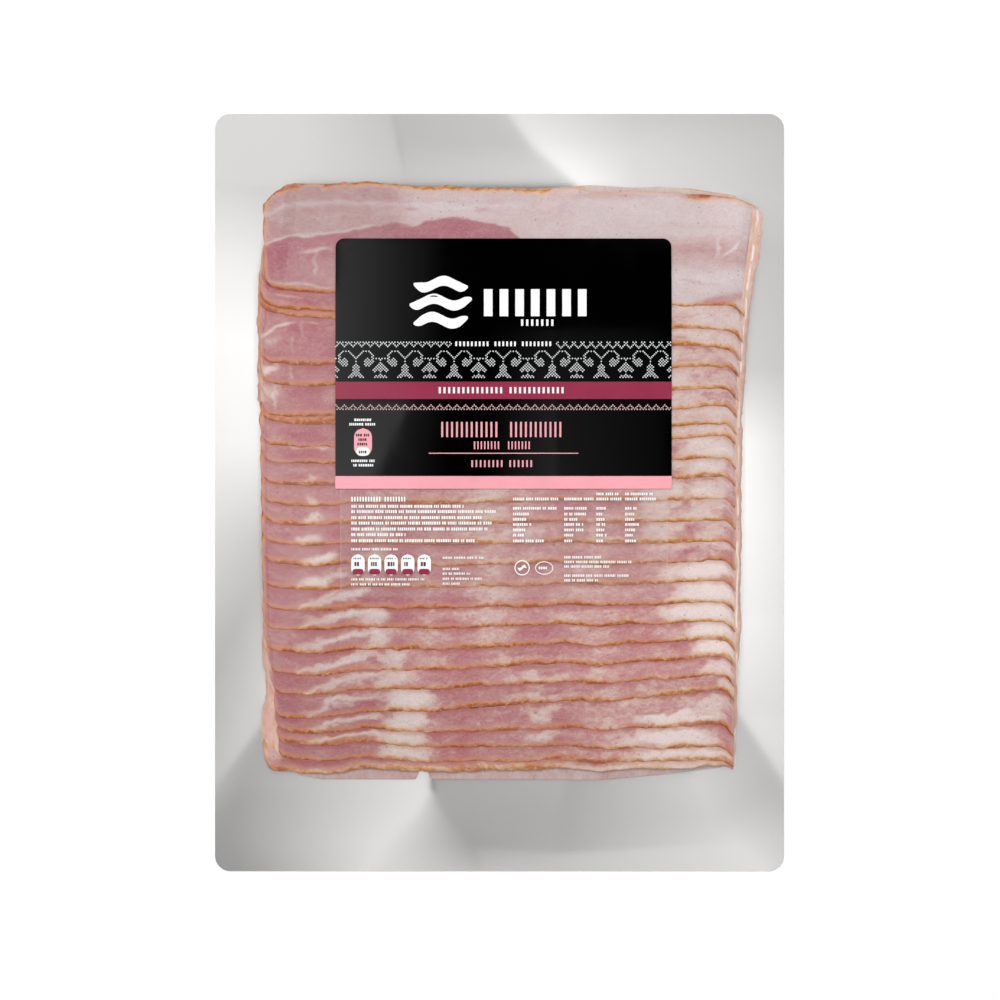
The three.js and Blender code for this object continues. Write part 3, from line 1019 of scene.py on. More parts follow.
def side_height(x, y):
    """The upper face of the side bands where there are any, and the backing elsewhere."""
    height = np.full_like(x, BACKING)
    for sign in (-1, 1):
        inner, outer, top = side_course(y, sign)
        share = (x - inner) / (outer - inner)
        here = BACKING + (top - BACKING) * (1 - np.clip(share, 0, 1) ** 3)
        there = (share > 0) & (share < 1) & (y > BAND_ROWS[0]) & (y < BAND_ROWS[1])
        height = np.where(there, np.maximum(height, here), height)
    return height


def add_side_band(name, sign):
    y = np.arange(*BAND_ROWS, 0.6)
    share = np.linspace(0, 1, 20)
    inner, outer, top = side_course(y, sign)
    outer = outer + 0.4 * cloud(y / 6, np.float64(sign), 17) + 0.3 * cloud(y / 2.2, np.float64(sign), 18)
    xs = lerp(inner[:, None], outer[:, None], share[None, :])
    ys = np.broadcast_to(y[:, None], xs.shape)
    across = np.abs(xs - inner[:, None])
    wide = np.abs(outer - inner)[:, None]
    lumps = 0.5 * cloud(ys / 2.6, across / 1.6, 24) * np.sin(math.pi * share[None, :])
    zs = BACKING + (top[:, None] - BACKING) * (1 - share[None, :] ** 3) + lumps
    layer = across / 2.1 + 0.5 * cloud(ys / 30, across / 4, 19)
    from_line = np.abs(layer - np.floor(layer) - 0.5) * 2.1
    # Painted highlights: pale gleaming lines along the right band, broken here and there
    painted_highlight = np.exp(-(((across - 2.6 - 0.5 * cloud(ys / 9, np.float64(sign), 25)) / 0.45) ** 2))
    painted_highlight = painted_highlight * smoothstep(-0.35, 0.25, cloud(ys / 7, np.float64(sign), 26)) * (1.0 if sign > 0 else 0.0)
    if sign > 0:
        rim = np.minimum(2.6 + 2.4 * from_line, 1.7 + 1.5 * np.abs(across - 1.5))
    else:
        rim = 1.9 + 2.2 * from_line + 1.5 * cloud(ys / 5, across / 3, 28)
    rim = np.minimum(rim, 1.9 + 1.4 * (wide - across)) + 3.0 * painted_highlight
    # The steep sides gather light through the film, so they are shaded as if they lay nearly flat.
    upward = np.tile((0.3 * sign, 0.0, 0.95), (xs.size, 1))
    upward[:, 1] += 0.1 * lumps.ravel()
    faces = grid_faces(*xs.shape)
    fat = (0.45 if sign > 0 else 0.25) + 0.9 * painted_highlight + 0.35 * cloud(ys / 3, across / 1.5, 27)
    return add_meat(
        name,
        np.stack([xs, ys, zs], axis=-1).reshape(-1, 3),
        faces if sign > 0 else faces[:, ::-1],
        np.stack([ys, across * 1.6, np.full_like(xs, 90.0 * sign)], axis=-1),
        upward,
        fat=fat,
        rim=rim,
        side=1.4 + 2.4 * painted_highlight,
        # The right band's colour is made much lighter than the left's: painted light against the shade
        # on its steep side.
        dim=(1.24 if sign > 0 else 1.03) + 0.1 * painted_highlight,
        coarse=0.5,
    )


add_side_band("left_slice_ends", -1)
add_side_band("right_slice_ends", 1)


# The clear film

FILM_STEP = 1.05
FILM_MARGIN = 6.0
FILM_GAP = 0.12
FILM_LIFT = 0.33
FILM_WALL = 0.8
FILM_ACROSS = (-121, 131)
FILM_TOP = 154


def taut_height(x, y):
    """The film's height in one column: straight from edge to edge of the slices under it."""
    edges = [edge_y(index, x) for index in range(SLICES)]
    crests = [crest(index, x) for index in range(SLICES)]
    places = [*edges[::-1], chord(0, x) + width_at(x) + table_at(TOP_EDGE_RISE, x)]
    heights = [*crests[::-1], top_foot(0, x)]
    places = [places[0] - 2.0, *places, places[-1] + 1.5]
    heights = [BACKING, *heights, BACKING]
    return np.interp(y, places, heights)


def add_film():
    x = np.arange(FILM_ACROSS[0] - FILM_MARGIN, FILM_ACROSS[1] + FILM_MARGIN, FILM_STEP)
    y = np.arange(UNDER_BOTTOM - FILM_MARGIN, FILM_TOP + FILM_MARGIN, FILM_STEP)
    xs, ys = np.meshgrid(x, y)
    inner = np.clip(x, ends(2)[0] + 1, ends(2)[1] - 9)
    upper = np.stack([taut_height(place, y) for place in inner], axis=1)
    left, right = np.interp(ys, END_ROWS, END_LEFTS), np.interp(ys, END_ROWS, END_RIGHTS)
    inside = np.minimum(xs - left, right - xs) + FILM_WALL
    upper = BACKING + (upper - BACKING) * smoothstep(0, FILM_WALL, inside)
    left, right = under_ends(ys)
    low = table_at(UNDER_LOW_EDGE, xs)
    high = table_at(UNDER_UPPER_EDGE, xs)
    inside = np.minimum(np.minimum(xs - left, right - xs), np.minimum(ys - low, high - ys))
    lower = BACKING + (under_top(ys) - BACKING) * smoothstep(0, FILM_WALL, inside + FILM_WALL)
    film = np.maximum(np.maximum(upper, lower), side_height(xs, ys))
    for axis in (0, 1):
        film = 0.25 * (np.roll(film, 1, axis) + np.roll(film, -1, axis)) + 0.5 * film
    film = film + FILM_GAP + FILM_LIFT * smoothstep(1.0, 4.0, film)
    faces = grid_faces(*xs.shape)
    raised = (film.ravel() > BACKING + FILM_GAP + 0.03)[faces].any(axis=1)
    return add_piece(
        "clear_film",
        np.stack([xs, ys, film], axis=-1).reshape(-1, 3),
        faces[raised],
        FILM,
        "sealed_bacon",
        {"lifted": smoothstep(BACKING + 0.2, BACKING + 3.0, film).ravel()},
    )


add_film()


# The backing

BACKING_ROWS = 150
BACKING_COLUMNS = 112


def rounded_rows(field, upper_radius, lower_radius, rows, columns):
    """A rectangle with round corners as a grid, which narrows in its first and last rows."""
    left, right = field["left"], field["right"]
    top, bottom = field["top"], field["bottom"]
    y = np.linspace(bottom, top, rows)
    bends = []
    for radius, at, sign in ((lower_radius, bottom, 1), (upper_radius, top, -1)):
        if radius:
            angle = np.linspace(0, math.pi / 2, 9)
            bends.append(at + sign * radius * (1 - np.cos(angle)))
    y = np.unique(np.concatenate([y, *bends]))
    inset = np.zeros_like(y)
    for radius, distance in ((lower_radius, y - bottom), (upper_radius, top - y)):
        if radius:
            near = np.clip(1 - distance / radius, 0, 1)
            inset = np.maximum(inset, radius * (1 - np.sqrt(1 - near**2)))
    share = np.linspace(0, 1, columns)
    xs = (left + inset)[:, None] + (right - left - 2 * inset)[:, None] * share[None, :]
    return xs, np.broadcast_to(y[:, None], xs.shape)


def sheet_points(xs, ys, top, thickness):
    """A closed thin sheet: an upper and a lower face, and walls with vertices of their own."""
    rows, columns = xs.shape
    upper = np.stack([xs, ys, top], axis=-1).reshape(-1, 3)
    lower = upper - [0, 0, thickness]
    index = np.arange(rows * columns).reshape(rows, columns)
    loop = np.concatenate([index[0], index[1:, -1], index[-1, -2::-1], index[-2:0:-1, 0]])
    size = rows * columns
    count = len(loop)
    wall = np.arange(count)
    after = np.roll(wall, -1)
    walls = 2 * size + np.stack([wall, wall + count, after + count, after], axis=-1)
    faces = np.vstack([grid_faces(rows, columns), grid_faces(rows, columns, size)[:, ::-1], walls])
    return np.vstack([upper, lower, upper[loop], lower[loop]]), faces


def add_backing():
    field = {
        "left": -PACK_WIDTH / 2,
        "right": PACK_WIDTH / 2,
        "top": PACK_LENGTH / 2,
        "bottom": -PACK_LENGTH / 2,
    }
    xs, ys = rounded_rows(field, PACK_CORNER, PACK_CORNER, BACKING_ROWS, BACKING_COLUMNS)
    roll = 0.004 * np.sin(0.045 * xs + 0.6) * np.cos(0.037 * ys)
    points, faces = sheet_points(xs, ys, BACKING + roll, BACKING)
    points[:, 2] = np.where(points[:, 2] < BACKING / 2, 0.0, points[:, 2])
    return add_piece("backing_sheet", points, faces, SILVER, "backing_film")


add_backing()


# The label and the clear panel

STICKER_LIFT = 0.5
LABEL_STOCK = 0.12
INK_LIFT = 0.05
RIDGE_SOFTNESS = 0.3
RIDGE_HALF = 0.25
# How far below the label's upper edge its rows are level again.
RIDGE_MARGIN = 8
STICKER_ROWS = 60
STICKER_COLUMNS = 50
INK_STEP = 4.0
UP = (0.0, 0.0, 1.0)
# In pixels of the photograph
LETTER_GAP = 0.65
WORD_GAP = 1.3


def sticker_z(x, y):
    """The upper face of the label: level over the crests, sloping down on the top slice."""
    high = crest(0, np.zeros_like(x)) + STICKER_LIFT + LABEL_STOCK
    beyond = y - chord(0, x)
    return high - TOP_SLOPE * 0.5 * (beyond + np.sqrt(beyond**2 + RIDGE_SOFTNESS**2))


def ridged(ys, xs, field):
    """Grid rows bent so that two of them run close along the ridge of the top slice's edge."""
    ridge = chord(0, 0.0)
    nearest = np.argmin(np.abs(ys[:, 0] - ridge))
    ys = ys.copy()
    ys[nearest] = ridge - RIDGE_HALF
    ys[nearest + 1] = ridge + RIDGE_HALF
    below = (ys - field["bottom"]) / (ridge - field["bottom"])
    high = field["top"] - RIDGE_MARGIN
    above = (high - ys) / (high - ridge)
    return ys + (chord(0, xs) - ridge) * np.clip(np.minimum(below, above), 0, 1)


def add_sticker(name, field, corner, material, node):
    xs, ys = rounded_rows(field, corner, 0, STICKER_ROWS, STICKER_COLUMNS)
    if field["top"] > chord(0, 0.0):
        ys = ridged(ys, xs, field)
    points, faces = sheet_points(xs, ys, sticker_z(xs, ys), LABEL_STOCK)
    # The stiff sticker evens out the bend over the slices, so it is shaded as a flat face.
    flat = np.tile(UP, (xs.size, 1))
    return add_piece(name, points, faces, material, node, normals=flat)


# The trees' place and pitch, and the stitches' pitch and half width, in pixels of the photograph.
TREE_PX = 356.6
TREE_PITCH_PX = 48.85
STITCH = TREE_PITCH_PX / 34
STITCH_HALF = 0.9


class Print:
    """Flat printed shapes of one ink, given in the photograph's frame and laid on the label."""

    def __init__(self):
        self.points = []
        self.faces = []

    def add_grid(self, px, py):
        x, y = from_px(px, py)
        first = sum(len(block) for block in self.points)
        self.faces.append(grid_faces(*px.shape, first=first)[:, ::-1])
        self.points.append(np.stack([x, y], axis=-1).reshape(-1, 2))

    def bar(self, left, right, top, bottom):
        columns = max(2, int((right - left) / INK_STEP) + 1)
        rows = max(2, int((bottom - top) / INK_STEP) + 1)
        self.add_grid(*np.meshgrid(np.linspace(left, right, columns), np.linspace(top, bottom, rows)))

    def pill(self, cx, cy, half_width, half_height):
        """A shape with round ends."""
        radius = min(half_width, half_height)
        offset = np.linspace(-1, 1, 17) * half_height
        near = np.clip((np.abs(offset) - (half_height - radius)) / radius, 0, 1)
        reach = half_width - radius + radius * np.sqrt(1 - near**2)
        share = np.linspace(-1, 1, 5)
        px = cx + reach[:, None] * share[None, :]
        self.add_grid(px, np.broadcast_to((cy + offset)[:, None], px.shape))

    def ring(self, cx, cy, outer_x, outer_y, thickness):
        angle = np.linspace(0, 2 * math.pi, 33)
        inner = np.stack([outer_x - thickness, outer_y - thickness])
        scale = np.stack([np.array([outer_x, outer_y]), inner])
        self.add_grid(cx + scale[:, :1] * np.cos(angle), cy + scale[:, 1:] * np.sin(angle))

    def wave(self, left, right, cy, height, swing, length, phase):
        px = np.linspace(left, right, 60)
        middle = cy + swing * np.sin(2 * math.pi * (px - left) / length + phase)
        taper = np.sqrt(np.clip(np.minimum(px - left, right - px) / (height * 0.8), 0.04, 1))
        share = np.array([[-0.5], [0.0], [0.5]])
        self.add_grid(np.broadcast_to(px, (3, 60)), middle[None, :] + share * height * taper)

    def words(self, left, right, cy, height, rng, weight=1.25):
        """A line of small print as short plain bars, set closer within words than between them."""
        px = left
        while px < right - weight:
            for _ in range(rng.integers(2, 10)):
                wide = weight * rng.uniform(0.8, 1.5)
                if px + wide > right:
                    return
                self.bar(px, px + wide, cy - height / 2, cy + height / 2)
                px += wide + LETTER_GAP
            px += WORD_GAP

    def strokes(self, left, right, top, bottom, pitch, weight, gaps=()):
        """A heading as a row of plain upright bars, with wider gaps where it is parted."""
        for px in np.arange(left, right - weight, pitch):
            if not any(low <= px <= high for low, high in gaps):
                self.bar(px, px + weight, top, bottom)

    def stitches(self, inside, box):
        """Small diamonds on a slanted lattice wherever inside(px, py) says."""
        left, right, top, bottom = box
        px, py = np.meshgrid(np.arange(left, right, STITCH), np.arange(top, bottom, STITCH))
        odd = (np.arange(px.shape[0])[:, None] + np.arange(px.shape[1])[None, :]) % 2 == 0
        chosen = odd & inside(px, py)
        first = sum(len(block) for block in self.points)
        centres = np.stack([px[chosen], py[chosen]], axis=-1)
        corners = STITCH_HALF * np.array([[1, 0], [0, -1], [-1, 0], [0, 1]])
        block = (centres[:, None, :] + corners[None, :, :]).reshape(-1, 2)
        x, y = from_px(block[:, 0], block[:, 1])
        self.points.append(np.stack([x, y], axis=-1))
        self.faces.append(first + np.arange(len(block)).reshape(-1, 4))

    def lay(self, name, material, node, lift=INK_LIFT):
        flat = np.vstack(self.points)
        z = sticker_z(flat[:, 0], flat[:, 1]) + lift
        points = np.column_stack([flat, z])
        upward = np.tile(UP, (len(points), 1))
        return add_piece(name, points, np.vstack(self.faces), material, node, normals=upward)


WHITE = ink_material("white_ink", linear(250, 250, 250), 0.15)
PINK = ink_material("pink_ink", linear(245, 166, 176), 0.12)
CRIMSON = ink_material("crimson_ink", linear(148, 44, 72), 0.12)
DARK = ink_material("dark_ink", linear(60, 40, 46))
THREAD = ink_material("grey_stitch_ink", linear(212, 216, 216))
PINK_THREAD = ink_material("pink_stitch_ink", linear(214, 170, 177))
STOCK = ink_material("label_stock", linear(1, 1, 1), roughness=0.03)
PANEL_STOCK = panel_material("panel_stock", 0.04)
SEAM = panel_material("panel_seam", 0.18)
PANEL_INK = ink_material("panel_ink", linear(255, 250, 248))

LABEL_PX = (336.0, 671.0)
ZIGZAG_PERIOD = 6 * STITCH


def zigzag(top, bottom, weight, base):
    """A stitched zigzag, with a band along one side that is parted at the far turns."""
    def inside(px, py):
        phase = np.abs(((px - LABEL_PX[0] - 0.5) / ZIGZAG_PERIOD) % 1 - 0.5) * 2
        line = np.abs(py - lerp(top, bottom, phase)) < weight
        return line | ((np.abs(py - base) < 0.9) & (phase < 0.72) & (phase > 0.12))
    return inside


def scroll(px, py):
    """Stitched scrolls and trees: a tall tree between two scrolls, and a low one beyond."""
    dx = (px - TREE_PX + TREE_PITCH_PX / 2) % TREE_PITCH_PX - TREE_PITCH_PX / 2
    ax = np.abs(dx)
    bx = TREE_PITCH_PX / 2 - ax
    outer = np.abs((ax - 9.7) / 7.6) ** 3 + np.abs((py - 357.4) / 5.8) ** 3
    inner = np.abs((ax - 9.7) / 5.8) ** 3 + np.abs((py - 357.4) / 4.1) ** 3
    blob = np.hypot(ax - 11.2, py - 362.5) < 4.1
    slot = (ax > 13.0) & (ax < 14.7) & (py > 357) & (py < 362.5)
    parts = [
        (outer < 1) & (inner > 1) & (py < 358.5),
        (ax > 15.3) & (ax < 17.4) & (py > 357) & (py < 363.5),
        blob & ~slot,
        np.hypot(ax - 13.4, py - 363.4) < 3.3,
        (ax < 1.3) & (py > 358.4) & (py < 366.5),
        (np.abs(py - 359.2 + 0.9 * (ax - 1.0)) < 1.3) & (ax < 3.6),
        (ax < 2.9) & (py > 366) & (py < 373.4),
        (ax < 3.0 + (py - 373.0) * 1.1) & (py > 372.9) & (py < 376.6),
        (ax < 7.4) & (ax > 3.6) & (py > 376.4) & (py < 378.2),
        (ax < 1.2) & (py > 376.4) & (py < 378.2),
        (py > 358.2) & (py < 360.0) & (bx < 8.6),
        (bx < 1.2) & (py > 358) & (py < 378),
        (bx < (py - 363.6) * 1.25) & (py > 364.5) & (py < 368.5),
        (bx < 8.2) & (py > 368.0) & (py < 371.2),
        (bx > 5.4) & (bx < 8.2) & (py > 371.0) & (py < 372.6),
        (bx < 2.4) & (py > 371) & (py < 372.4),
        (bx < 2.4 + (py - 374.6) * 1.1) & (py > 374.9) & (py < 378.4),
    ]
    return np.logical_or.reduce(parts)


# The small print over and under the pill, and on it: left, right and middle height.
PILL_NOTES = ((355, 372, 420.2), (350, 377, 424.6), (352, 376, 461.0), (354, 374, 465.4))
PILL_LINES = ((356.5, 370.5, 435.4), (359, 368, 439.9), (358, 369, 444.4), (359.5, 368, 452.2))


def add_label():
    left, right = LABEL_PX
    add_sticker("label_sheet", LABEL, LABEL_CORNER, STOCK, "label")
    rng = np.random.default_rng(7)

    crimson = Print()
    crimson.bar(left, right, 382.2, 399.4)
    crimson.lay("crimson_band", CRIMSON, "label")

    pink = Print()
    pink.bar(left, right, 476.2, 488.8)
    pink.pill(363.6, 442.5, 8.9, 14.0)
    pink.strokes(441.5, 565, 422.2, 437.4, 4.9, 1.9, gaps=((498, 506),))
    pink.strokes(474, 533, 441.6, 449.4, 3.4, 1.3, gaps=((499, 505),))
    pink.strokes(471.5, 535, 460.4, 467.2, 4.2, 1.6, gaps=((502, 508),))
    pink.bar(429, 578, 453.0, 453.9)
    pink.lay("pink_print", PINK, "label")

    white = Print()
    for row, (cy, inset) in enumerate(((285, 4), (303, 0), (321, 4))):
        white.wave(410 + inset, 472 - inset, cy, 10.0, 3.4, 40.0, row * 0.9)
    white.strokes(484, 594, 290, 317, 15.6, 8.6)
    white.strokes(521, 557, 320.2, 326.6, 5.0, 2.2)
    white.strokes(455.5, 552.5, 342.2, 346.8, 3.9, 1.8, gaps=((490, 494), (516, 521)))
    white.strokes(439, 568, 387.6, 393.8, 4.7, 2.1, gaps=((449, 453), (503, 507)))
    for place in PILL_NOTES:
        white.words(*place, 2.4, rng)
    white.pill(363.6, 451.6, 6.8, 4.4)
    white.lay("white_print", WHITE, "label", lift=2 * INK_LIFT)

    dark = Print()
    for place in PILL_LINES:
        dark.words(*place, 2.6, rng)
    dark.lay("pill_print", DARK, "label", lift=3 * INK_LIFT)

    thread = Print()
    for low, high in ((left, 452), (555.83, right)):
        thread.stitches(zigzag(343.4, 347.8, 1.4, 342.9), (low + 0.5, high, 341.5, 350))
    thread.stitches(scroll, (left + 0.5, right, 350.5, 379))
    thread.lay("stitched_scrolls", THREAD, "label")

    pale = Print()
    pale.stitches(zigzag(408.4, 404.2, 1.5, 408.9), (left + 0.5, right, 402.5, 411))
    pale.lay("stitched_border", PINK_THREAD, "label")


PANEL_PILLS = [358.6 + 16.5 * number for number in range(5)]


def add_panel():
    add_sticker("panel_sheet", PANEL, 0, PANEL_STOCK, "info_panel")
    rng = np.random.default_rng(11)
    seams = Print()
    for px in (341.6, 666.6):
        seams.bar(px - 0.5, px + 0.5, 489, 596)
    seams.lay("panel_seams", SEAM, "info_panel", lift=INK_LIFT)

    ink = Print()
    ink.strokes(352, 406, 496.8, 501.6, 2.75, 1.5, gaps=((380, 384),))
    rows = (506.3, 511.5, 517.5, 523.0, 528.9, 534.5, 540.5)
    for cy, end in zip(rows, (465, 497, 482, 492.5, 488, 407, 475.5)):
        ink.words(352, end, cy, 3.0, rng)
    ink.words(352, 399, 549, 2.4, rng, 0.8)
    for cx in PANEL_PILLS:
        ink.pill(cx, 564.6, 6.7, 10.6)
    for cy, end in ((579, 425), (584, 410)):
        ink.words(352, end, cy, 2.2, rng, 0.8)
    for cy, end in ((557.5, 484), (568.6, 461), (573.3, 471), (578.4, 484), (583.3, 460)):
        ink.words(443, end, cy, 2.2, rng, 0.8)
    columns = ((513, 559.5), (564, 593.4), (596, 622), (624.6, 657))
    for number, (low, high) in enumerate(columns):
        ink.words(low, high, 499, 2.8, rng)
        if number > 1:
            ink.words(low, high - 3, 494, 2.6, rng)
        for cy in (508.3, 514, 519.3, 524.4, 529.8, 535, 540.7):
            reach = low + (high - low) * rng.uniform(0.25, 0.95 if number < 2 else 0.45)
            ink.words(low, reach, cy, 2.7, rng)
    ink.ring(522, 567.5, 7.6, 7.6, 1.0)
    ink.wave(517.5, 526.5, 567.5, 3.0, 1.6, 9.0, 0.0)
    ink.ring(544, 567.7, 9.0, 6.6, 0.8)
    ink.words(538.5, 549.5, 567.7, 2.6, rng)
    for cy, end in ((557, 602), (561.7, 631), (566.2, 609), (575.3, 628), (580, 598)):
        ink.words(564, end, cy, 2.5, rng, 0.9)
    ink.lay("panel_print", PANEL_INK, "info_panel", lift=2 * INK_LIFT)

    notes = Print()
    for cx in PANEL_PILLS:
        notes.words(cx - 4.5, cx + 4.5, 558.2, 1.6, rng, 0.8)
        notes.words(cx - 3.5, cx + 3.5, 563.8, 4.2, rng, 1.6)
    notes.lay("panel_notes", DARK, "info_panel", lift=3 * INK_LIFT)

    ovals = Print()
    for cx in PANEL_PILLS:
        ovals.pill(cx, 571.4, 5.6, 2.9)
    ovals.lay("panel_ovals", CRIMSON, "info_panel", lift=3 * INK_LIFT)


add_label()
add_panel()


# Table, light and camera


# In metres
TABLE_HALF = 12.0
TABLE_GAP = 0.0002


def add_floor():
    shader = Shader("white_table")
    place = shader.place()
    cloud = shader.math("ADD", shader.noise(place, 3.0, detail=2.0), 0.5)
    shade = shader.colours(cloud, ((0.3, (0.96, 0.96, 0.96, 1)), (0.7, (0.98, 0.98, 0.98, 1))))
    material = shader.principled(Base_Color=shade, Roughness=1.0, Specular_IOR_Level=0.0)
    mesh = bpy.data.meshes.new("table")
    corners = [(x * TABLE_HALF, y * TABLE_HALF, 0) for x, y in ((-1, -1), (1, -1), (1, 1), (-1, 1))]
    mesh.from_pydata(corners, [], [(0, 1, 2, 3)])
    mesh.materials.append(material)
    floor = add_object("table", mesh)
    floor.location.z = -TABLE_GAP


WORLD_LEVEL = 0.9
ZENITH_DARK = 0.80
ZENITH_LIT = 0.70


def set_world():
    """Even white surroundings, dark overhead, where only the reflector cards should show."""
    world = bpy.data.worlds.new("studio")
    world.use_nodes = True
    nodes, links = world.node_tree.nodes, world.node_tree.links
    nodes.clear()
    place = nodes.new("ShaderNodeTexCoord")
    parts = nodes.new("ShaderNodeSeparateXYZ")
    fade = nodes.new("ShaderNodeMapRange")
    fade.interpolation_type = "SMOOTHSTEP"
    for key, value in zip((1, 2, 3, 4), (ZENITH_LIT, ZENITH_DARK, WORLD_LEVEL, 0.0)):
        fade.inputs[key].default_value = value
    light = nodes.new("ShaderNodeBackground")
    output = nodes.new("ShaderNodeOutputWorld")
    links.new(place.outputs["Generated"], parts.inputs[0])
    links.new(parts.outputs["Z"], fade.inputs[0])
    links.new(fade.outputs[0], light.inputs["Strength"])
    links.new(light.outputs[0], output.inputs[0])
    bpy.context.scene.world = world


OVERHEAD_STRENGTH = 2.36
OVERHEAD_SPREAD = 50
OVERHEAD_TILT = (-14, -6)


def add_overhead_light():
    """Wide soft light from above and a little from the pack's upper end, without a reflection."""
    light = bpy.data.lights.new("overhead", "SUN")
    light.energy = OVERHEAD_STRENGTH
    light.angle = math.radians(OVERHEAD_SPREAD)
    lamp = add_object("overhead", light)
    lamp.rotation_euler = (*(math.radians(angle) for angle in OVERHEAD_TILT), 0)
    lamp.visible_glossy = False


# Reflector cards above the pack. Each is a quad whose corners are given where their mirror image
# shows in the photograph's frame. For cards over the backing the third number is the grey that the
# backing shows there; for those over the meat and the label it is the card's own brightness.
CARD_HEIGHT = 500.0
CARD_GAP = 0.2
MIRROR_HEIGHT = 10.0
CARD_CELLS = 10
BACKING_GREYS = (
    # Upper left
    ((195, 95, 221), (300, 95, 219), (300, 185, 218), (195, 185, 220)),
    ((300, 95, 219), (389, 95, 199), (407, 185, 206), (300, 185, 218)),
    ((265, 185, 212), (300, 185, 218), (300, 225, 225), (265, 265, 240)),
    # Left side
    ((195, 185, 221), (265, 185, 212), (265, 265, 240), (195, 265, 243)),
    ((195, 265, 243), (265, 265, 240), (265, 340, 254), (195, 340, 251)),
    ((195, 340, 251), (265, 340, 254), (265, 440, 248), (195, 440, 243)),
    ((195, 440, 243), (265, 440, 248), (265, 540, 205), (195, 540, 224)),
    ((195, 540, 224), (265, 540, 205), (265, 575, 200), (195, 700, 183)),
    ((195, 700, 183), (265, 575, 200), (270, 712, 217), (195, 813, 192)),
    # Upper middle
    ((389, 95, 194), (495, 95, 203), (532, 145, 200), (400, 145, 194)),
    ((400, 145, 196), (532, 145, 202), (577, 185, 222), (407, 185, 206)),
    ((577, 185, 240), (735, 190, 220), (735, 225, 214), (577, 225, 215)),
    # Bright wedge at the upper right
    ((495, 95, 226), (640, 95, 200), (640, 145, 216), (532, 145, 240)),
    ((640, 95, 201), (810, 95, 192), (810, 145, 199), (640, 145, 218)),
    ((532, 145, 244), (640, 145, 218), (640, 190, 222), (580, 190, 264)),
    ((640, 145, 219), (810, 145, 199), (810, 190, 200), (640, 190, 225)),
    # Right side
    ((735, 190, 213), (810, 190, 202), (810, 240, 200), (735, 240, 207)),
    ((735, 240, 203), (810, 240, 198), (810, 370, 197), (735, 370, 217)),
    ((735, 370, 217), (810, 370, 199), (810, 440, 209), (735, 440, 260)),
    ((735, 440, 260), (810, 440, 209), (810, 515, 221), (735, 515, 257)),
    ((735, 515, 257), (810, 515, 221), (810, 615, 218), (735, 615, 246)),
    ((735, 615, 250), (810, 615, 220), (810, 715, 215), (735, 715, 227)),
    ((735, 706, 234), (810, 715, 218), (810, 821, 211), (810, 821, 211)),
    # Lower right
    ((690, 770, 213), (735, 706, 196), (784, 780, 186), (715, 820, 209)),
    ((715, 820, 209), (784, 780, 186), (810, 821, 192), (740, 842, 219)),
    ((740, 842, 219), (810, 821, 193), (810, 890, 200), (775, 890, 230)),
    ((570, 760, 175), (690, 770, 211), (715, 820, 209), (560, 815, 177)),
    ((560, 815, 176), (715, 820, 210), (740, 842, 220), (560, 853, 178)),
    ((560, 853, 198), (740, 842, 222), (775, 890, 225), (560, 890, 202)),
    ((475, 847, 177), (560, 853, 195), (560, 890, 207), (490, 890, 212)),
    # Dark lobe at the bottom
    ((432, 755, 176), (570, 760, 188), (560, 815, 179), (436, 800, 175)),
    ((436, 800, 175), (560, 815, 178), (560, 853, 181), (475, 847, 168)),
    # Lower left
    ((430, 788, 232), (434, 792, 168), (455, 820, 170), (402, 820, 229)),
    ((402, 820, 227), (455, 820, 170), (475, 847, 167), (380, 840, 226)),
    ((380, 840, 226), (475, 847, 167), (490, 890, 206), (344, 890, 220)),
    ((265, 718, 183), (431, 755, 230), (430, 788, 227), (240, 790, 174)),
    ((240, 790, 171), (430, 788, 227), (402, 820, 225), (235, 820, 169)),
    ((235, 820, 169), (402, 820, 225), (380, 840, 223), (232, 840, 167)),
    ((232, 840, 167), (380, 840, 223), (344, 890, 212), (250, 890, 163)),
    ((265, 718, 183), (240, 790, 174), (195, 826, 177), (195, 813, 186)),
    ((240, 790, 171), (232, 840, 167), (195, 850, 162), (195, 826, 170)),
    ((232, 840, 167), (250, 890, 163), (195, 890, 160), (195, 850, 162)),
)
LEVEL_CARDS = (
    ((338, 236, 0.88), (402, 236, 0.27), (402, 290, 0.27), (338, 290, 0.88)),
    ((402, 236, 0.29), (446, 236, 0.0), (446, 290, 0.0), (402, 290, 0.29)),
    ((267, 290, 1.2), (338, 290, 0.88), (338, 402, 0.82), (267, 402, 1.0)),
    ((338, 290, 0.88), (402, 290, 0.27), (402, 402, 0.27), (338, 402, 0.82)),
    ((402, 290, 0.29), (446, 290, 0.0), (446, 402, 0.0), (402, 402, 0.29)),
    ((267, 402, 1.0), (411, 402, 0.86), (376, 478, 1.1), (267, 478, 1.2)),
    ((267, 478, 1.2), (376, 478, 1.3), (317, 580, 1.4), (267, 580, 1.2)),
    ((267, 580, 1.2), (317, 580, 1.4), (277, 683, 1.5), (267, 710, 1.3)),
    ((411, 402, 0.22), (446, 402, 0.0), (446, 478, 0.0), (376, 478, 0.3)),
    ((376, 478, 0.3), (446, 478, 0.0), (430, 620, 0.0), (317, 580, 0.2)),
    ((490, 330, 0.0), (557, 330, 0.15), (558, 620, 0.75), (490, 620, 0.0)),
    ((559, 330, 0.15), (665, 330, 0.05), (665, 620, 0.05), (559, 620, 0.3)),
    ((690, 380, 0.2), (734, 380, 0.45), (734, 706, 1.0), (690, 680, 0.3)),
)
TOP_CARDS = (
    ((250, 176, 0.9), (400, 176, 0.7), (400, 300, 0.9), (250, 300, 1.1)),
    ((400, 176, 0.5), (556, 176, 0.5), (605, 212, 0.45), (400, 240, 0.4)),
    ((556, 176, 1.3), (680, 176, 1.1), (680, 228, 0.6), (605, 212, 1.0)),
    ((680, 176, 1.1), (790, 176, 0.6), (790, 240, 0.5), (680, 228, 0.6)),
    ((672, 229, 0.4), (790, 241, 0.45), (790, 300, 0.45), (672, 300, 0.35)),
)
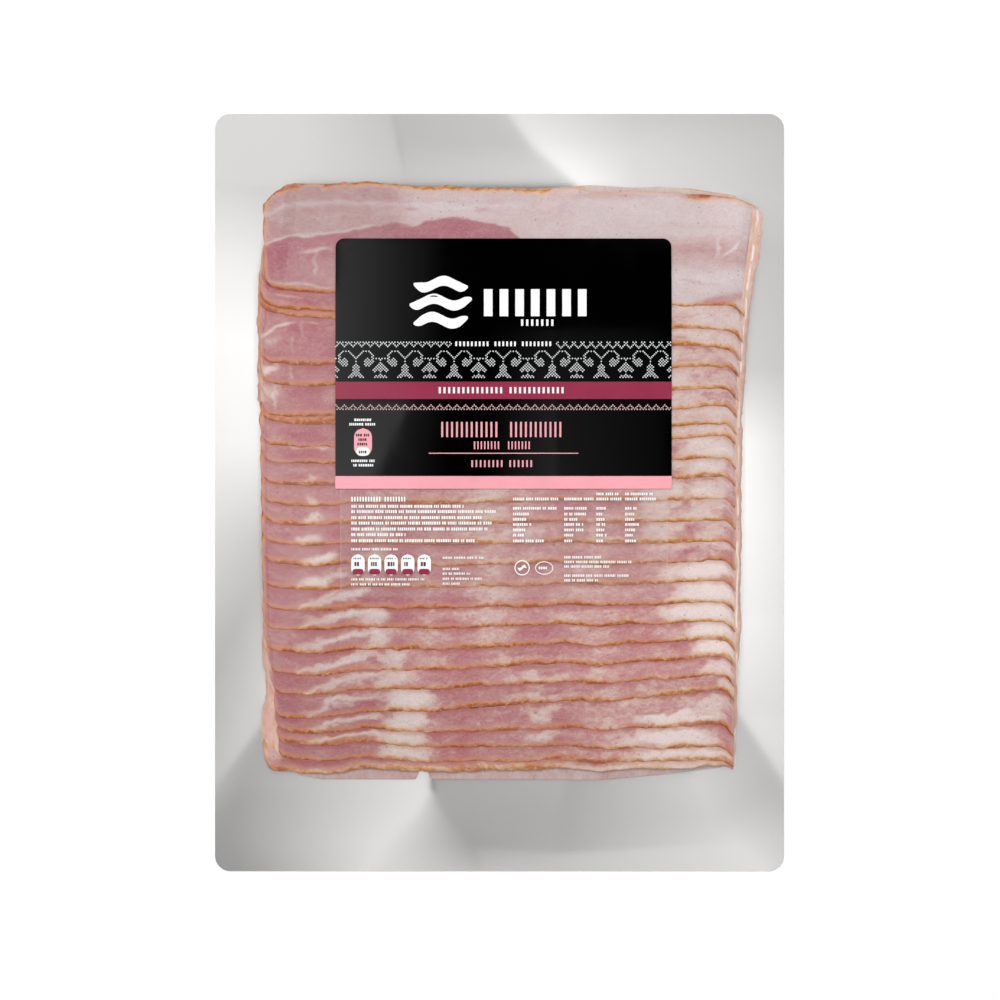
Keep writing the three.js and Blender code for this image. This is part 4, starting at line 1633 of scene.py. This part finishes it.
BOTTOM_CARDS = (
    ((240, 640, 0.9), (294, 640, 0.9), (262, 728, 0.7), (240, 752, 0.6)),
)
# How far the bottom edge slopes along the pack, and the top slice across it.
BOTTOM_SLOPE = -0.27
TOP_ACROSS = 0.0087
# What the backing shows without a card, and the share of a card that it mirrors.
BACKING_GLOW = 0.186
BACKING_MIRROR = 0.568


def shine(grey):
    """The brightness of a card that makes the backing show a grey."""
    return (linear(grey, grey, grey)[0] - BACKING_GLOW) / BACKING_MIRROR


def card_material():
    shader = Shader("lit_card")
    glow = shader.node("ShaderNodeEmission", inputs={"Strength": shader.attribute("level")})
    return shader.finish(glow.outputs[0])


def add_cards(name, quads, material, slope=0.0, across=0.0):
    """Cards that a surface mirrors straight up, if it slopes so much along and across the pack."""
    share = np.linspace(0, 1, CARD_CELLS + 1)
    u, w = np.meshgrid(share, share)
    scale = 1 + CARD_HEIGHT / CAMERA_HEIGHT
    shift = (CARD_HEIGHT - MIRROR_HEIGHT) * math.tan(2 * math.atan(slope))
    shift_x = (CARD_HEIGHT - MIRROR_HEIGHT) * math.tan(2 * math.atan(across))
    points, faces, levels = [], [], []
    for number, quad in enumerate(quads):
        corners = np.array(quad, dtype=float)
        first, second, third, fourth = (corner[None, None, :] for corner in corners)
        upper = lerp(first, second, u[..., None])
        lower = lerp(fourth, third, u[..., None])
        flat = lerp(upper, lower, w[..., None]).reshape(-1, 3)
        x, y = from_px(flat[:, 0], flat[:, 1])
        height = np.full_like(x, CARD_HEIGHT + CARD_GAP * number)
        points.append(np.column_stack([x * scale + shift_x, y * scale + shift, height]))
        faces.append(grid_faces(*u.shape, first=number * u.size))
        levels.append(flat[:, 2])
    mesh = bpy.data.meshes.new(name)
    mesh.from_pydata((np.vstack(points) * MM).tolist(), [], np.vstack(faces).tolist())
    layer = mesh.attributes.new("level", "FLOAT", "POINT")
    layer.data.foreach_set("value", np.maximum(np.concatenate(levels), 0).astype(np.float32))
    mesh.materials.append(material)
    cards = add_object(name, mesh)
    cards.visible_camera = False
    cards.visible_shadow = False
    cards.visible_diffuse = False


def add_all_cards():
    material = card_material()
    greys = [tuple((px, py, shine(grey)) for px, py, grey in quad) for quad in BACKING_GREYS]
    add_cards("cards_backing", greys, material)
    add_cards("cards_level", LEVEL_CARDS, material)
    add_cards("cards_top", TOP_CARDS, material, TOP_SLOPE, TOP_ACROSS)
    add_cards("cards_bottom", BOTTOM_CARDS, material, BOTTOM_SLOPE)


def add_camera():
    camera = bpy.data.cameras.new("camera")
    camera.sensor_width = SENSOR
    camera.lens = SENSOR * CAMERA_HEIGHT / (FRAME_PX * MM_PER_PIXEL)
    camera.clip_end = 100.0
    eye = add_object("camera", camera)
    x, y = from_px(FRAME_PX / 2, FRAME_PX / 2)
    eye.location = (x * MM, y * MM, CAMERA_HEIGHT * MM)
    bpy.context.scene.camera = eye


add_floor()
set_world()
add_overhead_light()
add_all_cards()
add_camera()
bpy.context.scene.view_settings.view_transform = "Standard"
